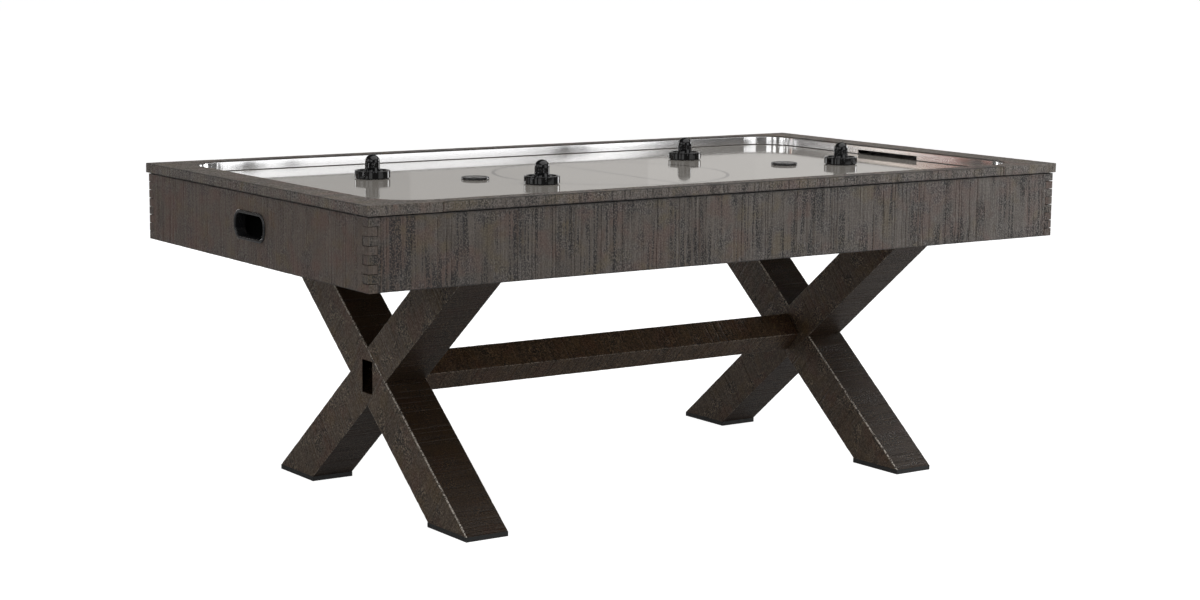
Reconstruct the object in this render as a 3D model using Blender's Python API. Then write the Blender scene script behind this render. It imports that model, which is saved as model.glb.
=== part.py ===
"""Air hockey table on two X-shaped trestles joined by a stretcher.

Metres, +Z up. The origin is on the floor under the middle of the table. +X runs along the
length of the table and +Y across it. "left" is the -X end and "front" is the -Y side.
"""
import math

import bmesh
import bpy
from mathutils import Matrix, Vector

# ---------------------------------------------------------------- driving dimensions
TABLE_LENGTH = 2.134
TABLE_WIDTH = 1.168
TABLE_HEIGHT = 0.831
GAP = 0.0003                     # clearance between pieces that touch

CAP_THICKNESS = 0.025
CAP_OVERHANG = 0.0055            # the cap stands proud of the aprons by this much
CAP_END_WIDTH = 0.086
CAP_SIDE_WIDTH = 0.046
CORNER_RADIUS = 0.110            # inner corner of the playing field

APRON_DEPTH = 0.173
APRON_THICKNESS = 0.025
FINGER_ROWS = 8                  # rows of fingers in each box joint

FIELD_BELOW_TOP = 0.027
FIELD_THICKNESS = 0.012
LINER_THICKNESS = 0.0032
LINER_TOP_DROP = 0.0035          # the aluminium stops this far below the cap's top face
GOAL_WIDTH = 0.252
GOAL_HEIGHT = 0.013
DROP_EDGE = 0.985                # the field ends here at each goal, measured from the middle
DROP_HALF_WIDTH = 0.136

PLENUM_HALF_LENGTH = 0.930
BATTEN_WIDTH = 0.030
BATTEN_HEIGHT = 0.030
PLENUM_FLOOR_THICKNESS = 0.009
BLOWER_HOLE_RADIUS = 0.070

BOX_WALL = 0.006                 # goal box
BOX_BACK = 0.9335
BOX_HALF_WIDTH = 0.1415
BOX_DROP = 0.076                 # underside below the plenum floor's

PORT_HEIGHT = 0.725              # centre of the puck return port above the floor
PORT_WIDTH = 0.148
PORT_DEPTH = 0.0565
PORT_RADIUS = 0.024
SLEEVE_WALL = 0.003
FLANGE_WIDTH = 0.008
FLANGE_THICKNESS = 0.003

TRESTLE_INNER = 0.622            # inner and outer faces of each X, measured from the middle
TRESTLE_OUTER = 0.740
BEAM_WIDTH = 0.1138              # beam section, square to its length
BEAM_SLOPE = 1.226               # sideways run of a beam for each metre of rise
CROSSING_HEIGHT = 0.325
PAD_THICKNESS = 0.012
PAD_INSET = 0.0
TOP_RAIL_HEIGHT = 0.0347
TOP_RAIL_HALF = 0.530
CROSS_RAIL_HEIGHT = 0.0394

STRETCHER_HALF_DIAGONAL = 0.052
POCKET_WIDTH = 0.052             # bolt pocket in the outer face of each crossing
POCKET_HEIGHT = 0.084
POCKET_DEPTH = 0.036
BOLT_RADIUS = 0.005
BOLT_HOLE_RADIUS = 0.0054
BOLT_HEAD_RADIUS = 0.0085        # across the flats
BOLT_FLANGE_RADIUS = 0.0125
BOLT_FLANGE_THICKNESS = 0.002
BOLT_HEAD_THICKNESS = 0.009      # flange included
STRETCHER_BOLT_GRIP = 0.040      # reach of each bolt into the stretcher
LEG_BOLT_GRIP = 0.034            # reach of each bolt into the cross rail
STRETCHER_BOLT_SPACING = 0.040
LEG_BOLT_Y = 0.250

BLOWER_DROP = 0.065              # underside of the blower housing below the plenum floor's
BLOWER_INNER_RADIUS = 0.072
BLOWER_INLET_RADIUS = 0.045
BLOWER_WALL = 0.004
BLOWER_PLATE = 0.003
BLOWER_FLANGE = 0.022
IMPELLER_RADIUS = 0.060
IMPELLER_EYE = 0.034             # inner ends of the blades
IMPELLER_BLADES = 12
IMPELLER_HEIGHT = 0.0305
IMPELLER_DROP = 0.042
HUB_RADIUS = 0.009
MOTOR_RADIUS = 0.028
MOTOR_BOTTOM_DROP = 0.094
MOTOR_TOP_DROP = 0.047
SHAFT_RADIUS = 0.003
SHAFT_TOP_DROP = 0.016
MOTOR_ARMS = 3
ARM_REACH = 0.070
ARM_WIDTH = 0.012

POWER_BOX_SIZE = (0.110, 0.090)
POWER_BOX_DROP = 0.054
POWER_SPREAD = 0.022             # inlet and switch each stand this far from the box's middle
INLET_SIZE = (0.027, 0.020)
INLET_DEPTH = 0.022
SOCKET_WALL = 0.0025
SOCKET_DEPTH = 0.016
PIN_PITCH = 0.007
ROCKER_HALF_LENGTH = 0.009
ROCKER_HALF_WIDTH = 0.006
ROCKER_CLEARANCE = 0.0026
ROCKER_PIVOT_DEPTH = 0.003       # pivot above the box's underside
ROCKER_WELL_DEPTH = 0.014

PUSHER_RADIUS = 0.046
PUSHER_HEIGHT = 0.0615
PUSHER_RIM = 0.021               # height of the rim
PUSHER_GROOVE = 0.0095           # height of the dished floor between rim and knob
KNOB_RADIUS = 0.0192
PUCK_RADIUS = 0.036
PUCK_THICKNESS = 0.0064
PUCK_EDGE = 0.0012

# Where the pushers and the pucks stand on the field (x, y)
PUSHER_PLACES = [(-0.6195, 0.1830), (-0.3150, -0.1460), (0.4205, 0.2320), (0.7170, -0.0985)]
PUCK_PLACES = [(-0.4020, 0.0330), (0.5650, -0.0365)]
POWER_PLACE = (0.310, 0.500)

# ---------------------------------------------------------------- worked-out sizes
HALF_LENGTH = TABLE_LENGTH / 2
HALF_WIDTH = TABLE_WIDTH / 2
APRON_HALF_LENGTH = HALF_LENGTH - CAP_OVERHANG
APRON_HALF_WIDTH = HALF_WIDTH - CAP_OVERHANG
APRON_INNER_X = APRON_HALF_LENGTH - APRON_THICKNESS
APRON_INNER_Y = APRON_HALF_WIDTH - APRON_THICKNESS
CAP_BOTTOM = TABLE_HEIGHT - CAP_THICKNESS
APRON_BOTTOM = CAP_BOTTOM - APRON_DEPTH
WALL_X = HALF_LENGTH - CAP_END_WIDTH
WALL_Y = HALF_WIDTH - CAP_SIDE_WIDTH
CORNER_X = WALL_X - CORNER_RADIUS
CORNER_Y = WALL_Y - CORNER_RADIUS
FIELD_TOP = TABLE_HEIGHT - FIELD_BELOW_TOP
FIELD_BOTTOM = FIELD_TOP - FIELD_THICKNESS
LINER_TOP = TABLE_HEIGHT - LINER_TOP_DROP
PLENUM_TOP = FIELD_BOTTOM - BATTEN_HEIGHT
PLENUM_BOTTOM = PLENUM_TOP - PLENUM_FLOOR_THICKNESS
GOAL_TOP = FIELD_TOP + GOAL_HEIGHT
BOX_BOTTOM = PLENUM_BOTTOM - BOX_DROP
BEAM_TOP = PLENUM_BOTTOM - CROSS_RAIL_HEIGHT - TOP_RAIL_HEIGHT - 3 * GAP
BLOWER_FLOOR = PLENUM_BOTTOM - BLOWER_DROP
IMPELLER_BASE = PLENUM_BOTTOM - IMPELLER_DROP
MOTOR_BOTTOM = PLENUM_BOTTOM - MOTOR_BOTTOM_DROP
MOTOR_TOP = PLENUM_BOTTOM - MOTOR_TOP_DROP
SHAFT_TOP = PLENUM_BOTTOM - SHAFT_TOP_DROP
POWER_BOX_BOTTOM = PLENUM_BOTTOM - POWER_BOX_DROP
TRESTLE_MIDDLE = (TRESTLE_INNER + TRESTLE_OUTER) / 2
BEAM_HALF = BEAM_WIDTH / 2 * math.hypot(1, BEAM_SLOPE)     # half width along a level line

# Colours (linear RGB), metallic, roughness
FINISHES = {
    "wood": ((0.075, 0.064, 0.054), 0.0, 0.62),
    "panel": ((0.30, 0.22, 0.14), 0.0, 0.70),
    "field": ((0.46, 0.44, 0.41), 0.0, 0.10),
    "aluminium": ((0.86, 0.86, 0.87), 1.0, 0.10),
    "black_plastic": ((0.012, 0.012, 0.013), 0.0, 0.25),
    "dark_plastic": ((0.020, 0.020, 0.022), 0.0, 0.55),
    "rubber": ((0.010, 0.010, 0.010), 0.0, 0.85),
    "steel": ((0.42, 0.43, 0.44), 1.0, 0.35),
}


# ---------------------------------------------------------------- helpers
def clear_scene():
    for obj in list(bpy.data.objects):
        bpy.data.objects.remove(obj, do_unlink=True)


def material(name, finish):
    colour, metallic, roughness = FINISHES[finish]
    made = bpy.data.materials.new(name + "_finish")
    made.use_nodes = True
    shader = made.node_tree.nodes["Principled BSDF"]
    shader.inputs["Base Color"].default_value = (*colour, 1.0)
    shader.inputs["Metallic"].default_value = metallic
    shader.inputs["Roughness"].default_value = roughness
    made.diffuse_color = (*colour, 1.0)
    return made


def finish_object(name, bm, finish, origin=(0, 0, 0), smooth=False):
    """Turn a bmesh in world coordinates into an object with the given origin."""
    bmesh.ops.recalc_face_normals(bm, faces=bm.faces)
    bmesh.ops.translate(bm, vec=-Vector(origin), verts=bm.verts)
    mesh = bpy.data.meshes.new(name)
    bm.to_mesh(mesh)
    bm.free()
    if smooth:
        mesh.shade_smooth()
        mesh.set_sharp_from_angle(angle=math.radians(40))
    obj = bpy.data.objects.new(name, mesh)
    obj.location = origin
    bpy.context.scene.collection.objects.link(obj)
    obj.data.materials.append(material(name, finish))
    return obj


def to_world(axis, u, v, along):
    """(u, v) lies across the axis: (y, z) for X, (x, z) for Y and (x, y) for Z."""
    return {"X": (along, u, v), "Y": (u, along, v), "Z": (u, v, along)}[axis]


def prism_mesh(outline, axis, low, high):
    bm = bmesh.new()
    ends = [[bm.verts.new(to_world(axis, u, v, along)) for u, v in outline] for along in (low, high)]
    for loop in ends:
        bm.faces.new(loop)
    count = len(outline)
    for i in range(count):
        j = (i + 1) % count
        bm.faces.new((ends[0][i], ends[0][j], ends[1][j], ends[1][i]))
    return bm


def prism(name, outline, axis, low, high, finish, **options):
    return finish_object(name, prism_mesh(outline, axis, low, high), finish, **options)


def rectangle(low_u, low_v, high_u, high_v):
    return [(low_u, low_v), (high_u, low_v), (high_u, high_v), (low_u, high_v)]


def block(name, low, high, finish):
    outline = rectangle(low[0], low[1], high[0], high[1])
    return prism(name, outline, "Z", low[2], high[2], finish)


def span(side, near, far):
    """The range from near to far on one side of the middle, lowest first."""
    return sorted((side * near, side * far))


def arc(centre, radius, start, end, steps):
    """Points on an arc, angles in degrees, both ends included."""
    points = []
    for i in range(steps + 1):
        angle = math.radians(start + (end - start) * i / steps)
        points.append((centre[0] + radius * math.cos(angle), centre[1] + radius * math.sin(angle)))
    return points


def rounded_rectangle(width, height, radius, steps, centre=(0, 0)):
    points = []
    for quarter, (sign_u, sign_v) in enumerate([(1, 1), (-1, 1), (-1, -1), (1, -1)]):
        corner = (centre[0] + sign_u * (width / 2 - radius), centre[1] + sign_v * (height / 2 - radius))
        points += arc(corner, radius, 90 * quarter, 90 * quarter + 90, steps)
    return points


def turned(name, stations, centre, axis, finish, segments=24):
    """A closed turned solid. Each station is (along the axis, radius, flats or 0 for round)."""
    bm = bmesh.new()
    rings = []
    for along, radius, flats in stations:
        ring = []
        for i in range(segments):
            angle = 2 * math.pi * i / segments
            reach = radius
            if flats:
                sector = 2 * math.pi / flats
                reach = radius / math.cos((angle % sector) - sector / 2)
            u = centre[0] + reach * math.cos(angle)
            v = centre[1] + reach * math.sin(angle)
            ring.append(bm.verts.new(to_world(axis, u, v, along)))
        rings.append(ring)
    for lower, upper in zip(rings, rings[1:]):
        for i in range(segments):
            j = (i + 1) % segments
            bm.faces.new((lower[i], lower[j], upper[j], upper[i]))
    bm.faces.new(rings[0])
    bm.faces.new(rings[-1])
    place = to_world(axis, centre[0], centre[1], stations[0][0])
    return finish_object(name, bm, finish, origin=place, smooth=True)


def swept_ring(name, loop_at, profile, axis, finish, smooth=False):
    """A closed profile of (offset, along) points swept round a loop; loop_at(offset) gives it."""
    bm = bmesh.new()
    loops = []
    for offset, along in profile:
        loops.append([bm.verts.new(to_world(axis, u, v, along)) for u, v in loop_at(offset)])
    count = len(loops[0])
    for k, loop in enumerate(loops):
        following = loops[(k + 1) % len(loops)]
        for i in range(count):
            j = (i + 1) % count
            bm.faces.new((loop[i], loop[j], following[j], following[i]))
    return finish_object(name, bm, finish, smooth=smooth)


def combine(target, tool, operation):
    """Add a Boolean to target; the tool is hidden from renders and left out of the model."""
    tool.hide_render = True
    tool.display_type = "WIRE"
    modifier = target.modifiers.new(tool.name, "BOOLEAN")
    modifier.operation = operation
    modifier.solver = "EXACT"
    modifier.object = tool


def drill(targets, name, centre, axis, low, high, radius, segments=16):
    tool = turned(name, [(low, radius, 0), (high, radius, 0)], centre, axis, "steel", segments)
    for target in targets:
        combine(target, tool, "DIFFERENCE")


def flanged_bolt(name, centre, axis, tip, seat, outward):
    """Hex bolt with a flanged head; its shank runs from the seat back to the tip."""
    flange = seat + outward * BOLT_FLANGE_THICKNESS
    stations = [(tip, BOLT_RADIUS, 0), (seat, BOLT_RADIUS, 0), (seat, BOLT_FLANGE_RADIUS, 0),
                (flange, BOLT_FLANGE_RADIUS, 0), (flange, BOLT_HEAD_RADIUS, 6),
                (seat + outward * BOLT_HEAD_THICKNESS, BOLT_HEAD_RADIUS, 6)]
    turned(name, stations, centre, axis, "steel", 12)


def comb_outline(half, low, high, owns_first):
    """Board outline in (length, height) with box-joint fingers at both ends.

    A finger that the board owns reaches the joint's outer face; the others stop short by one
    board thickness. Rows are counted from the top.
    """
    row = (high - low) / FINGER_ROWS
    right = []
    for index in range(FINGER_ROWS):
        owned = (index % 2 == 0) == owns_first
        reach = half if owned else half - APRON_THICKNESS - GAP
        trim = GAP / 2 if owned else -GAP / 2
        top = high - index * row - (trim if index > 0 else 0)
        bottom = high - (index + 1) * row + (trim if index < FINGER_ROWS - 1 else 0)
        right += [(reach, top), (reach, bottom)]
    left = [(-u, v) for u, v in reversed(right)]
    return right + left


# ---------------------------------------------------------------- cabinet
def build_aprons():
    low, high = APRON_BOTTOM, CAP_BOTTOM - GAP
    for name, side in (("side_apron_front", -1), ("side_apron_back", 1)):
        outline = comb_outline(APRON_HALF_LENGTH, low, high, owns_first=True)
        prism(name, outline, "Y", *span(side, APRON_INNER_Y, APRON_HALF_WIDTH), "wood")
    for name, side in (("end_apron_left", -1), ("end_apron_right", 1)):
        outline = comb_outline(APRON_HALF_WIDTH, low, high, owns_first=False)
        board = prism(name, outline, "X", *span(side, APRON_INNER_X, APRON_HALF_LENGTH), "wood")
        grow = 2 * (SLEEVE_WALL + GAP)
        hole = rounded_rectangle(PORT_WIDTH + grow, PORT_DEPTH + grow, PORT_RADIUS + grow / 2, 5,
                                 (0, PORT_HEIGHT))
        reach = span(side, APRON_INNER_X - 0.01, APRON_HALF_LENGTH + 0.01)
        combine(board, prism(name + "_hole", hole, "X", *reach, "wood"), "DIFFERENCE")


def build_return_bezels():
    def loop_at(offset):
        return rounded_rectangle(PORT_WIDTH + 2 * offset, PORT_DEPTH + 2 * offset,
                                 PORT_RADIUS + offset, 5, (0, PORT_HEIGHT))

    for name, side in (("return_bezel_left", -1), ("return_bezel_right", 1)):
        back = side * APRON_INNER_X
        seat = side * (APRON_HALF_LENGTH + GAP)
        front = side * (APRON_HALF_LENGTH + GAP + FLANGE_THICKNESS)
        edge = FLANGE_THICKNESS / 3
        profile = [(0, back), (SLEEVE_WALL, back), (SLEEVE_WALL, seat), (FLANGE_WIDTH, seat),
                   (FLANGE_WIDTH, front - side * edge), (FLANGE_WIDTH - edge, front), (0, front)]
        swept_ring(name, loop_at, profile, "X", "black_plastic")


def build_cap_rails():
    """The end rails are rebated underneath, so that a puck passes on from the goal slot."""
    low, high = CAP_BOTTOM, TABLE_HEIGHT
    for name, side in (("cap_rail_front", -1), ("cap_rail_back", 1)):
        low_y, high_y = span(side, WALL_Y, HALF_WIDTH)
        block(name, (-CORNER_X + GAP / 2, low_y, low), (CORNER_X - GAP / 2, high_y, high), "wood")
    for name, side in (("cap_rail_left", -1), ("cap_rail_right", 1)):
        joint = CORNER_X + GAP / 2
        upper = arc((CORNER_X, CORNER_Y), CORNER_RADIUS, 90, 0, 8)
        upper[0] = (joint, upper[0][1])
        inner = upper + [(u, -v) for u, v in reversed(upper)]
        outline = [(joint, -HALF_WIDTH), (HALF_LENGTH, -HALF_WIDTH), (HALF_LENGTH, HALF_WIDTH),
                   (joint, HALF_WIDTH)] + inner
        rail = prism(name, [(side * u, v) for u, v in outline], "Z", low, high, "wood")
        low_x, high_x = span(side, WALL_X - 0.01, APRON_INNER_X)
        chute = block(name + "_goal", (low_x, -DROP_HALF_WIDTH, low - 0.01),
                      (high_x, DROP_HALF_WIDTH, GOAL_TOP), "wood")
        combine(rail, chute, "DIFFERENCE")


# ---------------------------------------------------------------- playing field and its wall
def build_wall():
    low, high = FIELD_TOP + GAP, LINER_TOP
    outer_y = WALL_Y - GAP
    for name, side in (("wall_rail_front", -1), ("wall_rail_back", 1)):
        low_y, high_y = span(side, outer_y - LINER_THICKNESS, outer_y)
        block(name, (-CORNER_X + GAP, low_y, low), (CORNER_X - GAP, high_y, high), "aluminium")
    outer_x = WALL_X - GAP
    end, half_goal = CORNER_Y - GAP, GOAL_WIDTH / 2
    outline = [(-end, low), (-half_goal, low), (-half_goal, GOAL_TOP), (half_goal, GOAL_TOP),
               (half_goal, low), (end, low), (end, high), (-end, high)]
    for name, side in (("goal_plate_left", -1), ("goal_plate_right", 1)):
        prism(name, outline, "X", *span(side, outer_x - LINER_THICKNESS, outer_x), "aluminium")
    outer_radius = CORNER_RADIUS - GAP
    trim = math.degrees(GAP / CORNER_RADIUS)
    for end_name, side_x in (("left", -1), ("right", 1)):
        for side_name, side_y in (("front", -1), ("back", 1)):
            centre = (CORNER_X, CORNER_Y)
            ring = arc(centre, outer_radius, trim, 90 - trim, 8)
            ring += arc(centre, outer_radius - LINER_THICKNESS, 90 - trim, trim, 8)
            outline = [(side_x * u, side_y * v) for u, v in ring]
            prism(f"corner_rail_{end_name}_{side_name}", outline, "Z", low, high, "aluminium")


def build_playfield():
    end_x, end_y = APRON_INNER_X - GAP, APRON_INNER_Y - GAP
    quarter = [(DROP_EDGE, 0), (DROP_EDGE, DROP_HALF_WIDTH), (end_x, DROP_HALF_WIDTH), (end_x, end_y)]
    right = [(u, -v) for u, v in reversed(quarter[1:])] + quarter[1:]
    outline = right + [(-u, v) for u, v in reversed(right)]
    prism("playfield", outline, "Z", FIELD_BOTTOM, FIELD_TOP, "field")


def build_plenum():
    low, high = PLENUM_TOP + GAP, FIELD_BOTTOM - GAP
    end_y = APRON_INNER_Y - GAP
    for name, side in (("plenum_batten_front", -1), ("plenum_batten_back", 1)):
        low_y, high_y = span(side, end_y - BATTEN_WIDTH, end_y)
        block(name, (-PLENUM_HALF_LENGTH, low_y, low), (PLENUM_HALF_LENGTH, high_y, high), "panel")
    inner_y = end_y - BATTEN_WIDTH - GAP
    for name, side in (("plenum_batten_left", -1), ("plenum_batten_right", 1)):
        low_x, high_x = span(side, PLENUM_HALF_LENGTH - BATTEN_WIDTH, PLENUM_HALF_LENGTH)
        block(name, (low_x, -inner_y, low), (high_x, inner_y, high), "panel")
    floor = block("plenum_floor", (-PLENUM_HALF_LENGTH, -end_y, PLENUM_BOTTOM),
                  (PLENUM_HALF_LENGTH, end_y, PLENUM_TOP), "panel")
    drill([floor], "plenum_air_hole", (0, 0), "Z", PLENUM_BOTTOM - 0.01, PLENUM_TOP + 0.01,
          BLOWER_HOLE_RADIUS, 32)


def build_goal_boxes():
    top = FIELD_BOTTOM - GAP
    for name, side in (("goal_box_left", -1), ("goal_box_right", 1)):
        low_x, high_x = span(side, BOX_BACK, APRON_INNER_X - GAP)
        box = block(name, (low_x, -BOX_HALF_WIDTH, BOX_BOTTOM), (high_x, BOX_HALF_WIDTH, top),
                    "dark_plastic")
        inner = BOX_HALF_WIDTH - BOX_WALL
        low_x, high_x = span(side, BOX_BACK + BOX_WALL, APRON_INNER_X + 0.02)
        hollow = block(name + "_hollow", (low_x, -inner, BOX_BOTTOM + BOX_WALL),
                       (high_x, inner, top + 0.02), "dark_plastic")
        combine(box, hollow, "DIFFERENCE")


# ---------------------------------------------------------------- trestles
def beam_outline(lean, low, high, grow=0.0):
    """Side outline (y, z) of a beam whose top leans towards +Y (lean 1) or -Y (lean -1)."""
    half = BEAM_HALF + grow
    low_y = lean * BEAM_SLOPE * (low - CROSSING_HEIGHT)
    high_y = lean * BEAM_SLOPE * (high - CROSSING_HEIGHT)
    return [(low_y - half, low), (low_y + half, low), (high_y + half, high), (high_y - half, high)]


def build_trestle(end_name, side, stretcher):
    """Two beams half-lapped at the crossing: the outer one leans back at its top."""
    low, high = PAD_THICKNESS + GAP, BEAM_TOP
    whole = span(side, TRESTLE_INNER, TRESTLE_OUTER)
    outer = prism(f"beam_{end_name}_outer", beam_outline(1, low, high), "X", *whole, "wood")
    inner = prism(f"beam_{end_name}_inner", beam_outline(-1, low, high), "X", *whole, "wood")
    past = 0.01
    lap_gap = GAP / 2
    inner_half = span(side, TRESTLE_INNER - past, TRESTLE_MIDDLE + lap_gap)
    outer_half = span(side, TRESTLE_MIDDLE - lap_gap, TRESTLE_OUTER + past)
    other = beam_outline(-1, low - past, high + past, GAP)
    combine(outer, prism(f"lap_{end_name}_outer", other, "X", *inner_half, "wood"), "DIFFERENCE")
    other = beam_outline(1, low - past, high + past, GAP)
    combine(inner, prism(f"lap_{end_name}_inner", other, "X", *outer_half, "wood"), "DIFFERENCE")

    pocket_floor = TRESTLE_OUTER - POCKET_DEPTH
    half_width, half_height = POCKET_WIDTH / 2, POCKET_HEIGHT / 2
    pocket = rectangle(-half_width, CROSSING_HEIGHT - half_height, half_width,
                       CROSSING_HEIGHT + half_height)
    reach = span(side, pocket_floor, TRESTLE_OUTER + past)
    combine(outer, prism(f"pocket_{end_name}", pocket, "X", *reach, "wood"), "DIFFERENCE")

    bolt_end = TRESTLE_INNER - STRETCHER_BOLT_GRIP
    head = pocket_floor + GAP
    for level, sign in (("upper", 1), ("lower", -1)):
        centre = (0, CROSSING_HEIGHT + sign * STRETCHER_BOLT_SPACING / 2)
        drill([outer, inner, stretcher], f"bolt_hole_{end_name}_{level}", centre, "X",
              *span(side, bolt_end - 0.002, pocket_floor + 0.005), BOLT_HOLE_RADIUS, 12)
        flanged_bolt(f"stretcher_bolt_{end_name}_{level}", centre, "X", side * bolt_end,
                     side * head, side)

    for side_name, side_y in (("front", -1), ("back", 1)):
        middle = side_y * BEAM_SLOPE * (CROSSING_HEIGHT - low)
        half = BEAM_HALF - PAD_INSET
        low_x, high_x = span(side, TRESTLE_INNER + PAD_INSET, TRESTLE_OUTER - PAD_INSET)
        block(f"foot_pad_{end_name}_{side_name}", (low_x, middle - half, 0),
              (high_x, middle + half, PAD_THICKNESS), "rubber")


def build_top_rails(end_name, side):
    low_x, high_x = span(side, TRESTLE_INNER, TRESTLE_OUTER)
    low = BEAM_TOP + GAP
    high = low + TOP_RAIL_HEIGHT
    top_rail = block(f"leg_top_rail_{end_name}", (low_x, -TOP_RAIL_HALF, low),
                     (high_x, TOP_RAIL_HALF, high), "wood")
    end_y = APRON_INNER_Y - GAP
    cross_rail = block(f"cross_rail_{end_name}", (low_x, -end_y, high + GAP),
                       (high_x, end_y, high + GAP + CROSS_RAIL_HEIGHT), "panel")
    head = low - GAP
    tip = high + LEG_BOLT_GRIP
    for side_name, side_y in (("front", -1), ("back", 1)):
        centre = (side * TRESTLE_MIDDLE, side_y * LEG_BOLT_Y)
        drill([top_rail, cross_rail], f"leg_bolt_hole_{end_name}_{side_name}", centre, "Z",
              low - 0.01, tip + 0.002, BOLT_HOLE_RADIUS, 12)
        flanged_bolt(f"leg_bolt_{end_name}_{side_name}", centre, "Z", tip, head, -1)


def build_legs():
    reach = TRESTLE_INNER - GAP
    half = STRETCHER_HALF_DIAGONAL
    section = [(half, CROSSING_HEIGHT), (0, CROSSING_HEIGHT + half),
               (-half, CROSSING_HEIGHT), (0, CROSSING_HEIGHT - half)]
    stretcher = prism("stretcher", section, "X", -reach, reach, "wood")
    for end_name, side in (("left", -1), ("right", 1)):
        build_trestle(end_name, side, stretcher)
        build_top_rails(end_name, side)


# ---------------------------------------------------------------- blower and mains
def circle_loop(radius, segments):
    return [(radius * math.cos(2 * math.pi * i / segments),
             radius * math.sin(2 * math.pi * i / segments)) for i in range(segments)]


def build_blower():
    """Centrifugal blower: air comes in round the motor below and leaves into the plenum above."""
    top = PLENUM_BOTTOM - GAP
    inlet = BLOWER_INLET_RADIUS - BLOWER_INNER_RADIUS
    profile = [(0, top), (BLOWER_FLANGE, top), (BLOWER_FLANGE, top - BLOWER_PLATE),
               (BLOWER_WALL, top - BLOWER_PLATE), (BLOWER_WALL, BLOWER_FLOOR), (inlet, BLOWER_FLOOR),
               (inlet, BLOWER_FLOOR + BLOWER_PLATE), (0, BLOWER_FLOOR + BLOWER_PLATE)]
    swept_ring("blower_housing", lambda offset: circle_loop(BLOWER_INNER_RADIUS + offset, 32),
               profile, "Z", "dark_plastic", smooth=True)
    build_motor()
    build_impeller()


def build_motor():
    edge = 0.004
    stations = [(MOTOR_BOTTOM, MOTOR_RADIUS - edge, 0), (MOTOR_BOTTOM + edge, MOTOR_RADIUS, 0),
                (MOTOR_TOP - edge, MOTOR_RADIUS, 0), (MOTOR_TOP, MOTOR_RADIUS / 3, 0),
                (MOTOR_TOP, SHAFT_RADIUS, 0), (SHAFT_TOP, SHAFT_RADIUS, 0)]
    motor = turned("blower_motor", stations, (0, 0), "Z", "steel", 24)
    arm_top = BLOWER_FLOOR - GAP
    for index in range(MOTOR_ARMS):
        arm = block(f"motor_arm_{index}", (MOTOR_RADIUS * 0.7, -ARM_WIDTH / 2, arm_top - BLOWER_PLATE),
                    (ARM_REACH, ARM_WIDTH / 2, arm_top), "steel")
        arm.matrix_world = Matrix.Rotation(2 * math.pi * index / MOTOR_ARMS, 4, "Z")
        combine(motor, arm, "UNION")


def build_impeller():
    plate, blade = 0.0025, 0.0020
    top = IMPELLER_BASE + IMPELLER_HEIGHT
    stations = [(IMPELLER_BASE, HUB_RADIUS, 0), (top - plate, HUB_RADIUS, 0),
                (top - plate, IMPELLER_RADIUS, 0), (top, IMPELLER_RADIUS, 0)]
    impeller = turned("blower_impeller", stations, (0, 0), "Z", "black_plastic", 24)
    for index in range(IMPELLER_BLADES):
        vane = block(f"impeller_blade_{index}", (IMPELLER_EYE, -blade / 2, IMPELLER_BASE + 0.006),
                     (IMPELLER_RADIUS - blade, blade / 2, top - plate / 2), "black_plastic")
        vane.matrix_world = Matrix.Rotation(2 * math.pi * index / IMPELLER_BLADES, 4, "Z")
        combine(impeller, vane, "UNION")
    drill([impeller], "impeller_bore", (0, 0), "Z", IMPELLER_BASE - 0.005, SHAFT_TOP + 0.0005,
          SHAFT_RADIUS + GAP, 24)


def centred_block(name, centre, half, low, high, finish):
    """A block given by its middle and half size in plan, and its lowest and highest z."""
    return block(name, (centre[0] - half[0], centre[1] - half[1], low),
                 (centre[0] + half[0], centre[1] + half[1], high), finish)


def build_mains():
    """A junction box under the plenum floor, with an appliance inlet and a rocker switch."""
    low = POWER_BOX_BOTTOM
    below = low - 0.01
    half = (POWER_BOX_SIZE[0] / 2, POWER_BOX_SIZE[1] / 2)
    box = centred_block("power_box", POWER_PLACE, half, low, PLENUM_BOTTOM - GAP, "dark_plastic")

    place = (POWER_PLACE[0] - POWER_SPREAD, POWER_PLACE[1])
    half = (INLET_SIZE[0] / 2, INLET_SIZE[1] / 2)
    hole = centred_block("inlet_hole", place, (half[0] + GAP, half[1] + GAP), below,
                         low + INLET_DEPTH + GAP, "dark_plastic")
    combine(box, hole, "DIFFERENCE")
    inlet = centred_block("power_inlet", place, half, low - 0.002, low + INLET_DEPTH, "black_plastic")
    socket = centred_block("inlet_socket", place, (half[0] - SOCKET_WALL, half[1] - SOCKET_WALL),
                           below, low + SOCKET_DEPTH, "black_plastic")
    combine(inlet, socket, "DIFFERENCE")
    for index in range(3):
        pin_place = (place[0] + (index - 1) * PIN_PITCH, place[1])
        pin = centred_block(f"inlet_pin_{index}", pin_place, (0.001, 0.002), low + 0.003,
                            low + SOCKET_DEPTH + 0.001, "steel")
        combine(inlet, pin, "UNION")

    place = (POWER_PLACE[0] + POWER_SPREAD, POWER_PLACE[1])
    well_half = (ROCKER_HALF_LENGTH + ROCKER_CLEARANCE, ROCKER_HALF_WIDTH + 2 * GAP)
    well = centred_block("rocker_well", place, well_half, below, low + ROCKER_WELL_DEPTH,
                         "dark_plastic")
    combine(box, well, "DIFFERENCE")
    pivot = low + ROCKER_PIVOT_DEPTH
    half = ROCKER_HALF_LENGTH
    profile = [(-half, 0.0055), (half, 0.0055), (half, -0.0042), (0, -0.0055), (-half, -0.0082)]
    outline = [(place[0] + u, pivot + v) for u, v in profile]
    prism("power_rocker", outline, "Y", place[1] - ROCKER_HALF_WIDTH, place[1] + ROCKER_HALF_WIDTH,
          "black_plastic", origin=(place[0], place[1], pivot))


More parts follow.
